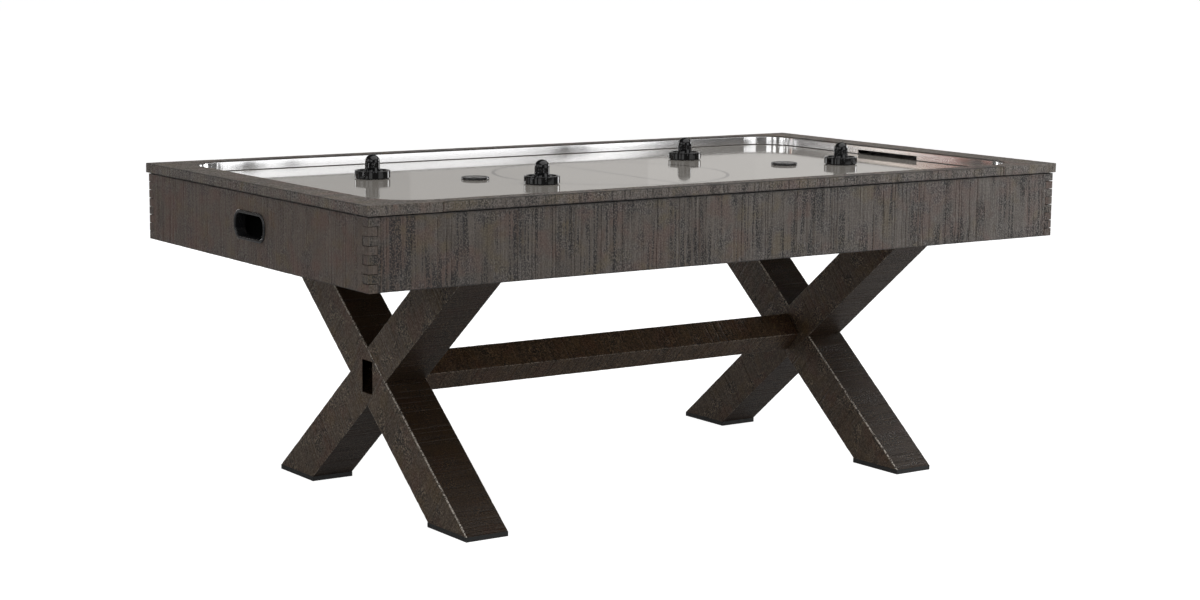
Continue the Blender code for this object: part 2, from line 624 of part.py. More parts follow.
# ---------------------------------------------------------------- pushers and pucks
def build_pushers():
    bottom = FIELD_TOP + GAP
    crown = 72
    dome = []
    for angle in (0, 25, 50, crown):
        drop = math.sin(math.radians(crown)) - math.sin(math.radians(angle))
        dome.append((PUSHER_HEIGHT - KNOB_RADIUS * drop, KNOB_RADIUS * math.cos(math.radians(angle)), 0))
    stations = [(0, PUSHER_RADIUS - 0.002, 0), (0.002, PUSHER_RADIUS, 0),
                (PUSHER_RIM - 0.003, PUSHER_RADIUS, 0), (PUSHER_RIM, PUSHER_RADIUS - 0.003, 0),
                (PUSHER_RIM, PUSHER_RADIUS - 0.0065, 0), (PUSHER_GROOVE, PUSHER_RADIUS - 0.011, 0),
                (PUSHER_GROOVE, KNOB_RADIUS + 0.004, 0), (PUSHER_GROOVE + 0.006, KNOB_RADIUS, 0)]
    stations += dome
    for number, (x, y) in enumerate(PUSHER_PLACES, start=1):
        lifted = [(bottom + along, radius, flats) for along, radius, flats in stations]
        turned(f"pusher_{number}", lifted, (x, y), "Z", "black_plastic", 28)


def build_pucks():
    bottom = FIELD_TOP + GAP
    stations = [(0, PUCK_RADIUS - PUCK_EDGE, 0), (PUCK_EDGE, PUCK_RADIUS, 0),
                (PUCK_THICKNESS - PUCK_EDGE, PUCK_RADIUS, 0),
                (PUCK_THICKNESS, PUCK_RADIUS - PUCK_EDGE, 0)]
    for number, (x, y) in enumerate(PUCK_PLACES, start=1):
        lifted = [(bottom + along, radius, flats) for along, radius, flats in stations]
        turned(f"puck_{number}", lifted, (x, y), "Z", "dark_plastic", 32)


def main():
    clear_scene()
    build_aprons()
    build_return_bezels()
    build_cap_rails()
    build_wall()
    build_playfield()
    build_plenum()
    build_goal_boxes()
    build_legs()
    build_blower()
    build_mains()
    build_pushers()
    build_pucks()


main()
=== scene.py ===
import math

import bmesh
import bpy
import numpy as np
from mathutils import Matrix, Vector


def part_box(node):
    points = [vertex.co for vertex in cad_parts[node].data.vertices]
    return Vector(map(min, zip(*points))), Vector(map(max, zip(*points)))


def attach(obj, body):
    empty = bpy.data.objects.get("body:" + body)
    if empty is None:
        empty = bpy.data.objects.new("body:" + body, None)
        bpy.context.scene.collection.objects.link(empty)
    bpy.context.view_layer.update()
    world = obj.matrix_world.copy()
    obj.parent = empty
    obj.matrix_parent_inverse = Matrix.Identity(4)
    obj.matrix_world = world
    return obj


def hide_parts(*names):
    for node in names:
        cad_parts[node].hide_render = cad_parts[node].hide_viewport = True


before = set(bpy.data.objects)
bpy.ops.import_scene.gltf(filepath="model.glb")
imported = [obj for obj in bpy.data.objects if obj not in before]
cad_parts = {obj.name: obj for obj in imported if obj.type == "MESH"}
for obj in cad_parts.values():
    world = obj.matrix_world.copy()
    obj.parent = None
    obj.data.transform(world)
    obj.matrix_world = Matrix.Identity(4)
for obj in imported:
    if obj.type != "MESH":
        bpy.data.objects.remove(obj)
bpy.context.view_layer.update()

TABLE, WOOD = "table", "weathered_wood"

# Sizes that the boxes of the CAD nodes don't give
BEAM_SLOPE = 1.226               # sideways run of a beam for each metre of rise
BEAM_HALF = 0.0900               # half a beam's width along a level line
CROSSING_HEIGHT = 0.325
LAP_GAP = 0.0003
JOINT_GAP = 0.0008               # dark lines where caps meet
FINGER_GAP = (0.0003, 0.0011)    # dark lines round the finger joints
SHADOW_GAP = 0.0018              # dark line under the cap
POCKET_WIDTH, POCKET_HEIGHT, POCKET_DEPTH = 0.052, 0.084, 0.036
CORNER_RADIUS = 0.110            # inner corner of the cap
CAP_WIDTH = 0.086                # an end cap rail's at its middle
PLAY_HALF_LENGTH, PLAY_HALF_WIDTH = 0.977, 0.534
FINGER_ROWS = 8
PORT_HEIGHT = 0.725              # middle of the return port above the floor
PORT_WIDTH, PORT_DEPTH, PORT_RADIUS = 0.148, 0.0565, 0.024
SLEEVE_WALL = 0.003
FLANGE_WIDTH = 0.008
GOAL_TOP, GOAL_HALF_WIDTH = 0.817, 0.126
WALL_BASE_GAP, WALL_EDGE_RADIUS = 0.0013, 0.0006
DROP_EDGE, DROP_HALF_WIDTH = 0.985, 0.136
CHUTE_END = 1.0365               # the goal chute's end inside the cap
CIRCLE_RADIUS = 0.312
LINE_HALF_WIDTH = 0.0046
PAST = 0.01                      # how far a cutter reaches past what it cuts
HOLE_PITCH = 0.0254
HOLE_RADIUS, HOLE_DEPTH = 0.0008, 0.006
HOLE_MARGIN = 0.018              # from the walls to the nearest air holes
HOLE_COLUMNS, HOLE_ROWS = 37, 20  # on each side of the middle ones
PAD_HEIGHT = 0.0018              # felt under a pusher
KNOB_RADIUS, KNOB_SHOULDER = 0.0192, 0.0425


# ---------- material graphs
class Graph:
    """Short calls for building one material's node tree."""

    def __init__(self, name):
        self.material = bpy.data.materials.new(name)
        self.material.use_nodes = True
        self.tree = self.material.node_tree
        self.shader = self.tree.nodes["Principled BSDF"]

    def link(self, value, socket):
        if isinstance(value, bpy.types.NodeSocket):
            self.tree.links.new(value, socket)
        else:
            socket.default_value = value

    def node(self, kind, values=(), out=0, **settings):
        made = self.tree.nodes.new(kind)
        for key, value in settings.items():
            setattr(made, key, value)
        for key, value in dict(values).items():
            self.link(value, made.inputs[key])
        return made.outputs[out]

    def maths(self, operation, a, b=0.0):
        return self.node("ShaderNodeMath", {0: a, 1: b}, operation=operation)

    def vector(self, operation, a, b):
        out = 1 if operation in ("DOT_PRODUCT", "LENGTH") else 0
        values = {0: a} if operation == "LENGTH" else {0: a, 1: b}
        return self.node("ShaderNodeVectorMath", values, out=out, operation=operation)

    def mix(self, factor, a, b, blend="MIX"):
        made = self.tree.nodes.new("ShaderNodeMix")
        made.data_type = "RGBA"
        made.blend_type = blend
        for index, value in ((0, factor), (6, a), (7, b)):
            if isinstance(value, tuple) and len(value) == 3:
                value = (*value, 1.0)
            self.link(value, made.inputs[index])
        return made.outputs[2]

    def blend(self, factor, a, b):
        return self.node("ShaderNodeMix", {0: factor, 2: a, 3: b}, data_type="FLOAT")

    def noise(self, where, scale=1.0, detail=2.0, rough=0.5):
        values = {"Vector": where, "Scale": scale, "Detail": detail, "Roughness": rough}
        return self.node("ShaderNodeTexNoise", values)

    def weave(self, parts, scales, shift, detail=2.0, rough=0.5):
        """Noise over measured places, each with its own scale per metre."""
        parts = [self.node("ShaderNodeMath", {0: part, 1: scale, 2: shift}, operation="MULTIPLY_ADD")
                 for part, scale in zip(parts, scales)]
        where = self.node("ShaderNodeCombineXYZ", dict(enumerate(parts)))
        return self.noise(where, 1.0, detail, rough)

    def drawn(self, scales, detail=2.0, rough=0.5):
        """Noise over the object's own place, stretched by a scale along each axis."""
        return self.noise(self.vector("MULTIPLY", self.place(), scales), 1.0, detail, rough)

    def distance(self, value, middle):
        return self.maths("ABSOLUTE", self.maths("SUBTRACT", value, middle))

    def remap(self, value, low, high, to_low=0.0, to_high=1.0):
        values = {0: value, 1: low, 2: high, 3: to_low, 4: to_high}
        return self.node("ShaderNodeMapRange", values)

    def attribute(self, name):
        return self.node("ShaderNodeAttribute", out=2, attribute_name=name)

    def place(self):
        return self.node("ShaderNodeTexCoord", out=3)

    def measured(self, axes):
        """The place along three axes; end faces are measured along the third instead."""
        where = self.place()
        parts = [self.vector("DOT_PRODUCT", where, axis) for axis in axes]
        normal = self.node("ShaderNodeNewGeometry", out=1)
        facing = self.maths("ABSOLUTE", self.vector("DOT_PRODUCT", normal, axes[0]))
        parts[0] = self.blend(self.maths("GREATER_THAN", facing, 0.75), parts[0],
                              self.vector("DOT_PRODUCT", where, END_AXIS[axes[0]]))
        return parts

    def bump(self, height, strength, distance):
        values = {"Height": height, "Strength": strength, "Distance": distance}
        return self.node("ShaderNodeBump", values)

    def finish(self, **sockets):
        for key, value in sockets.items():
            if isinstance(value, tuple) and len(value) == 3:
                value = (*value, 1.0)
            self.link(value, self.shader.inputs[key.replace("_", " ")])
        return self.material


X_AXIS, Y_AXIS, Z_AXIS = (1, 0, 0), (0, 1, 0), (0, 0, 1)
BEAM_REACH = math.hypot(1, BEAM_SLOPE)


def beam_axes(lean):
    """Along a beam, across it in its own plane, and through the trestle."""
    along = (0, lean * BEAM_SLOPE / BEAM_REACH, 1 / BEAM_REACH)
    across = (0, -lean / BEAM_REACH, BEAM_SLOPE / BEAM_REACH)
    return along, across, X_AXIS


END_AXIS = {X_AXIS: Y_AXIS, Y_AXIS: X_AXIS, beam_axes(1)[0]: X_AXIS, beam_axes(-1)[0]: X_AXIS}
# edge colours: a pale one for worn edges with a painted highlight, a dark one for a painted shade
# line along the edges
WORN_LIT_EDGE, SHADED_EDGE_LINE = (0.560, 0.510, 0.450), (0.012, 0.011, 0.010)


def wood(name, axes, shift, tone, shaded_flank_tone=None, edge=SHADED_EDGE_LINE, lined=1.0,
         speckled=(0.2, 0.6), rim=None, sheen=0.45, fleck=(0.200, 0.184, 0.162)):
    """Rough-sawn boards, dark grey-brown stain under a satin lacquer.

    shift moves all the patterns. tone tints the board. The second tone, when given, tints the
    sides along the third axis darker, as painted shade. edge colours the corners: a pale colour
    gives worn edges with a painted highlight, a dark one a painted shade line along the edges.
    The attributes "kerf" and the edge mask come from the board's own relief. lined sets how
    strong the saw lines are, speckled the least and the most grit, and fleck the colour of its
    pale specks, partly pale grit and partly painted glints of the lacquer. rim, the middle and
    the half height of a standing board, gathers the grit along its top and bottom. sheen is the
    lacquer's.
    """
    g = Graph(name)
    at = g.measured(axes)
    streak = g.weave(at, (230, 8, 8), shift, 2.0, 0.6)
    broad = g.weave(at, (38, 6, 6), shift + 7, 2.0, 0.55)
    saw = g.weave(at, (58, 2.6, 2.6), shift + 3, 1.0)
    force = g.weave(at, (20, 8, 8), shift + 41, 1.0)
    patch = g.weave(at, (16, 18, 18), shift + 19)
    red = g.weave(at, (12, 13, 13), shift + 31)
    ochre = g.weave(at, (14, 16, 16), shift + 59)
    grit = g.weave(at, (270, 240, 240), shift + 11, 1.0)

    fibre = g.maths("ADD", g.maths("MULTIPLY", streak, 0.55), g.maths("MULTIPLY", broad, 0.45))
    colour = g.mix(g.remap(fibre, 0.38, 0.62), (0.074, 0.061, 0.051), (0.116, 0.100, 0.086))
    colour = g.mix(g.remap(red, 0.50, 0.62, 0.0, 0.8), colour, (0.106, 0.069, 0.056))
    colour = g.mix(g.remap(ochre, 0.54, 0.66, 0.0, 0.6), colour, (0.110, 0.086, 0.048))
    if rim is not None:
        middle, half = rim
        away = g.distance(at[2], middle)
        patch = g.maths("ADD", patch, g.remap(away, half * 0.5, half, -0.03, 0.11))
    zone = g.remap(patch, 0.53, 0.63)
    colour = g.mix(g.maths("MULTIPLY", zone, 0.30), colour, (0.062, 0.061, 0.066))
    amount = g.remap(zone, 0.0, 1.0, *speckled)
    dots = g.maths("MULTIPLY", g.remap(grit, 0.46, 0.36), amount)
    colour = g.mix(dots, colour, (0.014, 0.014, 0.015))
    # pale specks: partly pale grit, partly painted glints of the lacquer
    pale = g.maths("MULTIPLY", g.remap(grit, 0.55, 0.66, 0.0, 0.85), amount)
    colour = g.mix(pale, colour, fleck)

    line = g.maths("MULTIPLY", g.remap(g.distance(saw, 0.5), 0.095, 0.040),
                   g.remap(force, 0.40, 0.54, 0.15, 1.0))
    thin = g.maths("MULTIPLY", g.remap(g.distance(streak, 0.5), 0.07, 0.02),
                   g.remap(zone, 0.0, 1.0, 0.10, 0.50))
    line = g.maths("MAXIMUM", g.maths("MAXIMUM", line, thin), g.attribute("kerf"))
    line = g.maths("MULTIPLY", line, g.remap(grit, 0.60, 0.46, 0.15, 1.0))
    colour = g.mix(g.maths("MULTIPLY", line, 0.93 * lined), colour, (0.010, 0.009, 0.009))

    # painted shade: faces across the third axis keep the tone, the sides along it get the darker
    # second tone
    if shaded_flank_tone is not None:
        facing = g.vector("DOT_PRODUCT", g.node("ShaderNodeNewGeometry", out=1), axes[2])
        facing = g.remap(g.maths("ABSOLUTE", facing), 0.3, 0.8)
        tint = g.mix(facing, shaded_flank_tone, tone)
    else:
        tint = (*tone, 1.0)
    colour = g.mix(1.0, colour, tint, "MULTIPLY")
    # edge colour: worn edges with a painted highlight on the legs, a painted shade line along the
    # other boards' edges
    wear_and_edge_shading = g.maths("MULTIPLY", g.remap(g.attribute("wear_and_edge_shading"), 0.12, 0.55),
                   g.remap(grit, 0.42, 0.54, 0.05, 1.0))
    colour = g.mix(wear_and_edge_shading, colour, edge)

    height = g.maths("ADD", g.maths("MULTIPLY", streak, 0.5), g.maths("MULTIPLY", grit, 0.8))
    height = g.maths("SUBTRACT", height, g.maths("MULTIPLY", line, 0.7))
    return g.finish(Base_Color=colour, Roughness=g.remap(grit, 0.35, 0.65, 0.58, 0.38),
                    Specular_IOR_Level=sheen, Normal=g.bump(height, 0.6, 0.0012))


def panel_board(name):
    """Raw fibreboard and pine under the field."""
    g = Graph(name)
    grain = g.drawn((14, 220, 220), 3.0, 0.55)
    fibre = g.noise(g.place(), 900.0, 2.0, 0.6)
    colour = g.mix(g.remap(grain, 0.35, 0.65), (0.235, 0.165, 0.100), (0.360, 0.270, 0.175))
    colour = g.mix(g.remap(fibre, 0.45, 0.70, 0.0, 0.4), colour, (0.18, 0.12, 0.07))
    return g.finish(Base_Color=colour, Roughness=0.72, Normal=g.bump(fibre, 0.3, 0.0003))


def field_laminate(name):
    g = Graph(name)
    where = g.place()
    flat = g.vector("MULTIPLY", where, (1, 1, 0))
    away = g.distance(g.vector("LENGTH", flat, None), CIRCLE_RADIUS)
    across = g.maths("ABSOLUTE", g.vector("DOT_PRODUCT", where, X_AXIS))
    line = g.remap(g.maths("MINIMUM", away, across), LINE_HALF_WIDTH - 0.0003,
                   LINE_HALF_WIDTH + 0.0003, 1.0, 0.0)
    cloud = g.noise(where, 3.0, 2.0)
    fleck = g.noise(where, 1400.0, 1.0)
    colour = g.mix(cloud, (0.292, 0.272, 0.246), (0.315, 0.294, 0.266))
    colour = g.mix(g.remap(fleck, 0.55, 0.75, 0.0, 0.12), colour, (0.28, 0.265, 0.245))
    colour = g.mix(line, colour, (0.030, 0.024, 0.023))
    smear = g.noise(where, 26.0, 3.0, 0.6)
    return g.finish(Base_Color=colour, Roughness=g.remap(smear, 0.35, 0.75, 0.050, 0.080),
                    IOR=1.50, Normal=g.bump(g.noise(where, 6.0, 1.0), 0.02, 0.002))


def brushed_aluminium(name):
    """Brushed lengthwise, so its highlights run up and down."""
    g = Graph(name)
    brush = g.drawn((5, 5, 2400), 2.0, 0.7)
    blotch = g.drawn((5, 5, 30), 2.0, 0.6)
    colour = g.mix(g.remap(brush, 0.3, 0.7), (0.82, 0.82, 0.83), (0.90, 0.90, 0.905))
    tangent = g.node("ShaderNodeTangent", direction_type="RADIAL", axis="Z")
    return g.finish(Base_Color=colour, Metallic=1.0,
                    Roughness=g.remap(blotch, 0.3, 0.8, 0.16, 0.20),
                    Anisotropic=0.9, Anisotropic_Rotation=0.25, Tangent=tangent,
                    Normal=g.bump(brush, 0.04, 0.0002))


def moulded(name, colour, rough, grain, grain_depth, sheen=0.5):
    """Moulded plastic with a slight texture and a few rubbed patches."""
    g = Graph(name)
    where = g.place()
    texture = g.noise(where, grain, 2.0, 0.6)
    rub = g.noise(where, 55.0, 4.0, 0.65)
    pale = tuple(min(1.0, c * 1.8 + 0.002) for c in colour)
    tint = g.mix(g.remap(rub, 0.50, 0.78, 0.0, 0.55), colour, pale)
    return g.finish(Base_Color=tint, Roughness=g.remap(rub, 0.3, 0.8, rough * 0.75, rough * 1.35),
                    Specular_IOR_Level=sheen, Normal=g.bump(texture, 0.25, grain_depth))


def steel(name, colour, rough):
    g = Graph(name)
    turned_marks = g.drawn((60, 60, 1800))
    stain = g.noise(g.place(), 120.0, 3.0, 0.6)
    dark = tuple(c * 0.55 for c in colour)
    tint = g.mix(g.remap(stain, 0.45, 0.75), colour, dark)
    return g.finish(Base_Color=tint, Metallic=1.0,
                    Roughness=g.remap(turned_marks, 0.3, 0.7, rough * 0.8, rough * 1.3),
                    Normal=g.bump(turned_marks, 0.15, 0.0002))


def felt(name):
    g = Graph(name)
    fibre = g.noise(g.place(), 2200.0, 3.0, 0.7)
    colour = g.mix(fibre, (0.030, 0.030, 0.032), (0.075, 0.075, 0.078))
    return g.finish(Base_Color=colour, Roughness=0.95, Sheen_Weight=0.5,
                    Normal=g.bump(fibre, 0.6, 0.0006))


# ---------- smooth random numbers
class Drift:
    """Smooth repeatable noise from 0 to 1 over one or two coordinates."""

    def __init__(self, seed):
        self.table = np.random.RandomState(seed).rand(256, 256)

    def at(self, x, y=0.0):
        x, y = np.broadcast_arrays(np.asarray(x, float), np.asarray(y, float))
        ix, iy = np.floor(x).astype(int), np.floor(y).astype(int)
        fx, fy = x - ix, y - iy
        fx, fy = fx * fx * (3 - 2 * fx), fy * fy * (3 - 2 * fy)
        t = self.table
        a, b = t[ix % 256, iy % 256], t[(ix + 1) % 256, iy % 256]
        c, d = t[ix % 256, (iy + 1) % 256], t[(ix + 1) % 256, (iy + 1) % 256]
        return (a * (1 - fx) + b * fx) * (1 - fy) + (c * (1 - fx) + d * fx) * fy


# ---------- mesh helpers
def add_object(name, mesh, material, node=None, body=TABLE):
    """A visible piece in a material slot, shown in place of a CAD node if one is named."""
    obj = bpy.data.objects.new(name, mesh)
    bpy.context.scene.collection.objects.link(obj)
    obj.data.materials.clear()
    obj.data.materials.append(material)
    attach(obj, body)
    if node:
        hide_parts(node)


def tidy_normals(mesh, angle=35):
    bm = bmesh.new()
    bm.from_mesh(mesh)
    bmesh.ops.recalc_face_normals(bm, faces=bm.faces)
    bm.to_mesh(mesh)
    bm.free()
    mesh.shade_smooth()
    mesh.set_sharp_from_angle(angle=math.radians(angle))


def box_mesh(name, low, high):
    bm = bmesh.new()
    bmesh.ops.create_cube(bm, size=1.0)
    for v in bm.verts:
        v.co = Vector([lo + (c + 0.5) * (hi - lo) for lo, hi, c in zip(low, high, v.co)])
    mesh = bpy.data.meshes.new(name)
    bm.to_mesh(mesh)
    bm.free()
    return mesh


def smooth_mesh(name, verts, faces, angle=35):
    mesh = bpy.data.meshes.new(name)
    mesh.from_pydata(verts, [], faces)
    tidy_normals(mesh, angle)
    return mesh


def ring_faces(first, second, count):
    """Quads between two loops of count points that start at two indices."""
    return [(first + k, first + (k + 1) % count, second + (k + 1) % count, second + k)
            for k in range(count)]


def prism_mesh(name, outline, low, high):
    """A prism along X of a (y, z) outline."""
    count = len(outline)
    points = [(x, y, z) for x in (low, high) for y, z in outline]
    faces = [tuple(range(count)), tuple(range(count, 2 * count)), *ring_faces(0, count, count)]
    return smooth_mesh(name, points, faces)


def carve(mesh, cutters, angle=35):
    """The mesh with every cutter mesh taken out of it, under the same name."""
    name = mesh.name
    obj = bpy.data.objects.new("carved", mesh)
    bpy.context.scene.collection.objects.link(obj)
    tools = []
    for cutter in cutters:
        tool = bpy.data.objects.new("cutter", cutter)
        bpy.context.scene.collection.objects.link(tool)
        modifier = obj.modifiers.new("cut", "BOOLEAN")
        modifier.operation = "DIFFERENCE"
        modifier.solver = "EXACT"
        modifier.object = tool
        tools.append(tool)
    graph = bpy.context.evaluated_depsgraph_get()
    result = bpy.data.meshes.new_from_object(obj.evaluated_get(graph), depsgraph=graph)
    for made in [obj, *tools]:
        bpy.data.objects.remove(made)
    result.name = name
    tidy_normals(result, angle)
    return result


def rounded_rectangle(width, height, radius, steps, middle=(0, 0)):
    points = []
    for quarter, (su, sv) in enumerate([(1, 1), (-1, 1), (-1, -1), (1, -1)]):
        for i in range(steps + 1):
            angle = math.radians(90 * quarter + 90 * i / steps)
            points.append((middle[0] + su * (width / 2 - radius) + radius * math.cos(angle),
                           middle[1] + sv * (height / 2 - radius) + radius * math.sin(angle)))
    return points


# ---------- rough-sawn boards
EDGE_RADIUS = 0.0011
EDGE_BAND = 0.0060               # the stretch beside a corner that may take the edge colour: wear with a painted highlight on the legs, a painted shade line on the other boards
KERF_GAP = (0.0045, 0.0150)      # distances between saw marks
WIDE_GAP = 0.0105                # from here on a gap gets a ring in its middle
KERF_HALF = (0.0007, 0.0013)     # half widths of saw marks
KERF_DEPTH = 0.0009
FLAT_SPACING = 0.08              # across a side that stays nearly flat
CAP_ROUGHNESS = 1.15             # depth of the caps' relief beside the other boards'


def section_points(corners, spacing):
    """Round a convex section: points, outward normals, nearness to a corner, side, place, corner.

    Nearness is 1 on a rounded corner and falls to 0 within 5 mm.
    """
    rows = []
    count = len(corners)
    corners = [Vector(c) for c in corners]
    for k in range(count):
        a, b, c = corners[k - 1], corners[k], corners[(k + 1) % count]
        back, on = (a - b).normalized(), (c - b).normalized()
        out_back, out_on = Vector((-back.y, back.x)), Vector((on.y, -on.x))
        start, end = b + back * EDGE_RADIUS, b + on * EDGE_RADIUS
        middle = (start + end) / 2 * 0.42 + b * 0.58
        rows.append((start, (out_back * 2 + out_on).normalized(), 1.0, k - 1, 0.0, k))
        rows.append((middle, (out_back + out_on).normalized(), 1.0, k, 0.0, k))
        rows.append((end, (out_back + out_on * 2).normalized(), 1.0, k, 0.0, k))
        length = (c - b).length
        steps = [0.0028, EDGE_BAND]
        open_length = length - 2 * EDGE_BAND
        inner = max(1, round(open_length / spacing[k]))
        steps += [EDGE_BAND + open_length * i / inner for i in range(1, inner)]
        steps += [length - EDGE_BAND, length - 0.0028]
        for step in steps:
            near = max(0.0, 1 - min(step, length - step) / 0.005)
            nearest = k if step < length / 2 else (k + 1) % count
            rows.append((b + on * step, out_on, near * 0.5, k, step, nearest))
    return rows


def ring_places(length, random):
    """Positions of rings along a board, three to each saw mark, and each ring's mark depth."""
    places, marks = [0.0, EDGE_RADIUS], [-1, -1]
    at, mark = EDGE_RADIUS + random.uniform(0.003, 0.008), 0
    while at < length - 0.004:
        half = random.uniform(*KERF_HALF)
        places += [at - half, at, at + half]
        marks += [-1, mark, -1]
        mark += 1
        gap = random.uniform(*KERF_GAP)
        if gap > WIDE_GAP:
            places.append(at + half + (gap - half) * 0.5)
            marks.append(-1)
        at += gap + half
    keep = [i for i, p in enumerate(places) if p < length - EDGE_RADIUS - 0.0005]
    places = [places[i] for i in keep] + [length - EDGE_RADIUS, length]
    marks = [marks[i] for i in keep] + [-1, -1]
    return np.array(places), np.array(marks), mark


def sawn_board(name, corners, spacing, length, locate, seed, rough=1.0, clip=None,
               edge_wear_and_shading=(1.0, 1.0, 1.0, 1.0)):
    """A board whose section is swept along its length, with saw marks, ripples and worn edges.

    locate(along, u, v) gives points in the row frame as three arrays. clip(points) may slide
    points along the board, where its ends are cut on a slant. All relief goes inwards.
    The corner weights say how strongly each corner of the section takes the edge colour: wear
    with a painted highlight on the legs, a painted shade line on the other boards. spacing is
    each side's.
    """
    random = np.random.RandomState(seed)
    drift = Drift(seed + 1)
    rows = section_points(corners, spacing)
    u = np.array([r[0].x for r in rows])
    v = np.array([r[0].y for r in rows])
    normal_u = np.array([r[1].x for r in rows])
    normal_v = np.array([r[1].y for r in rows])
    near = np.array([r[2] for r in rows])
    side = np.array([r[3] % len(corners) for r in rows])
    step = np.array([r[4] for r in rows])
    places, marks, mark_count = ring_places(length, random)
    sides = len(corners)
    strength = random.rand(max(1, mark_count), sides)
    strength = np.where(strength > 0.72, 1.0, strength * 0.55)
    strength *= (random.rand(max(1, mark_count), sides) > 0.12)

    s = places[:, None]
    kerf = np.zeros((len(places), len(rows)))
    hit = marks >= 0
    kerf[hit] = strength[marks[hit]][:, side]
    fade = drift.at(s * 14 + side * 17.3, step * 22 + side * 5.1)
    streak = drift.at(s * 900 + side * 3.7, step * 55)
    kerf *= np.clip(0.55 + 1.4 * fade - 0.65 * streak, 0.0, 1.0)
    kerf *= 1 - 0.6 * near
    depth = kerf * KERF_DEPTH * rough
    depth += 0.00022 * drift.at(s * 38 + side * 9.7, step * 30)
    chips = drift.at(s * 95 + 40, near * 0 + side * 3.3)
    chips = np.clip(chips - 0.52, 0, 1) * 2.0
    tatter = drift.at(s * 420 + 90, side * 2.9)
    corner_wear = (near >= 1.0)
    depth += corner_wear * (0.00025 * tatter + 0.00085 * chips * tatter) * rough
    ends = (places < 1e-9) | (places > length - 1e-9)
    depth[ends] += EDGE_RADIUS * 0.6

    sunk = locate(np.broadcast_to(s, depth.shape), u - depth * normal_u, v - depth * normal_v)
    points = np.stack(sunk, axis=-1)
    if clip is not None:
        points = clip(points)
    # mask for the edge colour, which the leg materials paint as wear with a painted highlight and the
    # other boards as a painted shade line
    weight = np.array([edge_wear_and_shading[r[5]] for r in rows])
    wear_and_edge_shading = near * weight * (0.35 + 0.65 * tatter)
    wear_and_edge_shading[ends] = 0.0
    n = len(rows)
    faces = []
    for i in range(len(places) - 1):
        faces += ring_faces(i * n, (i + 1) * n, n)
    faces.append(tuple(range(n)))
    faces.append(tuple((len(places) - 1) * n + j for j in reversed(range(n))))
    mesh = bpy.data.meshes.new(name)
    mesh.from_pydata(points.reshape(-1, 3).tolist(), [], faces)
    for key, values in (("kerf", kerf), ("wear_and_edge_shading", wear_and_edge_shading)):
        layer = mesh.attributes.new(key, "FLOAT", "POINT")
        layer.data.foreach_set("value", values.astype(np.float32).ravel())
    if clip is not None:
        bm = bmesh.new()
        bm.from_mesh(mesh)
        bmesh.ops.remove_doubles(bm, verts=bm.verts, dist=1e-6)
        bm.to_mesh(mesh)
        bm.free()
    return mesh


def straight_board(name, axis, low, high, seed, material, node, spacing=0.011, cutters=(),
                   rough=1.0, coarse=None):
    """A straight board that fills a box and runs along X or Y.

    coarse is the side (0 low v, 1 high u, 2 high v, 3 low u) that stays nearly flat.
    """
    along = 0 if axis == "X" else 1
    across = 1 - along
    length = high[along] - low[along]
    lu, hu, lv, hv = low[across], high[across], low[2], high[2]
    corners = [(lu, lv), (hu, lv), (hu, hv), (lu, hv)]
    pitch = [FLAT_SPACING if k == coarse else spacing for k in range(4)]

    def locate(s, u, v):
        if axis == "X":
            return low[0] + s, u, v
        return u, low[1] + s, v

    mesh = sawn_board(name, corners, pitch, length, locate, seed, rough)
    if cutters:
        mesh = carve(mesh, cutters)
    else:
        tidy_normals(mesh)
    add_object(name, mesh, material, node)


def finger_notches(along, low, high, first_owned, seed):
    """The notches at both ends of an apron board, as one cutter mesh per notch."""
    across = 1 - along
    thickness = high[across] - low[across]
    row = (high[2] - low[2]) / FINGER_ROWS
    random = np.random.RandomState(seed)
    cutters = []
    for index in range(FINGER_ROWS):
        if (index % 2 == 0) == first_owned:
            continue
        top, bottom = high[2] - index * row, high[2] - (index + 1) * row
        for end in (low[along], high[along]):
            under, over, past = random.uniform(*FINGER_GAP, 3)
            inner = end + (thickness + past if end == low[along] else -thickness - past)
            outer = end + (-PAST if end == low[along] else PAST)
            lo, hi = [0, 0, bottom - under], [0, 0, top + over]
            if index == FINGER_ROWS - 1:
                lo[2] = bottom - PAST
            if index == 0:
                hi[2] = top + PAST
            lo[along], hi[along] = min(inner, outer), max(inner, outer)
            lo[across], hi[across] = low[across] - PAST, high[across] + PAST
            cutters.append(box_mesh("notch", lo, hi))
    return cutters


def build_aprons(material_x, material_y):
    grow = 2 * (SLEEVE_WALL + LAP_GAP)
    hole = rounded_rectangle(PORT_WIDTH + grow, PORT_DEPTH + grow, PORT_RADIUS + grow / 2, 8,
                             (0, PORT_HEIGHT))
    for along, kind, places, material in ((0, "side", ("front", "back"), material_x),
                                          (1, "end", ("left", "right"), material_y)):
        for number, place in enumerate(places):
            node = f"{kind}_apron_{place}"
            low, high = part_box(node)
            high.z -= SHADOW_GAP
            seed = 11 + 10 * along + number
            cutters = finger_notches(along, low, high, along == 0, 70 + seed)
            if kind == "end":
                cutters.append(prism_mesh("port_hole", hole, low.x - PAST, high.x + PAST))
            straight_board(f"board_{kind}_{place}", "XY"[along], low, high, seed, material, node,
                           cutters=cutters, coarse=1 + 2 * number)


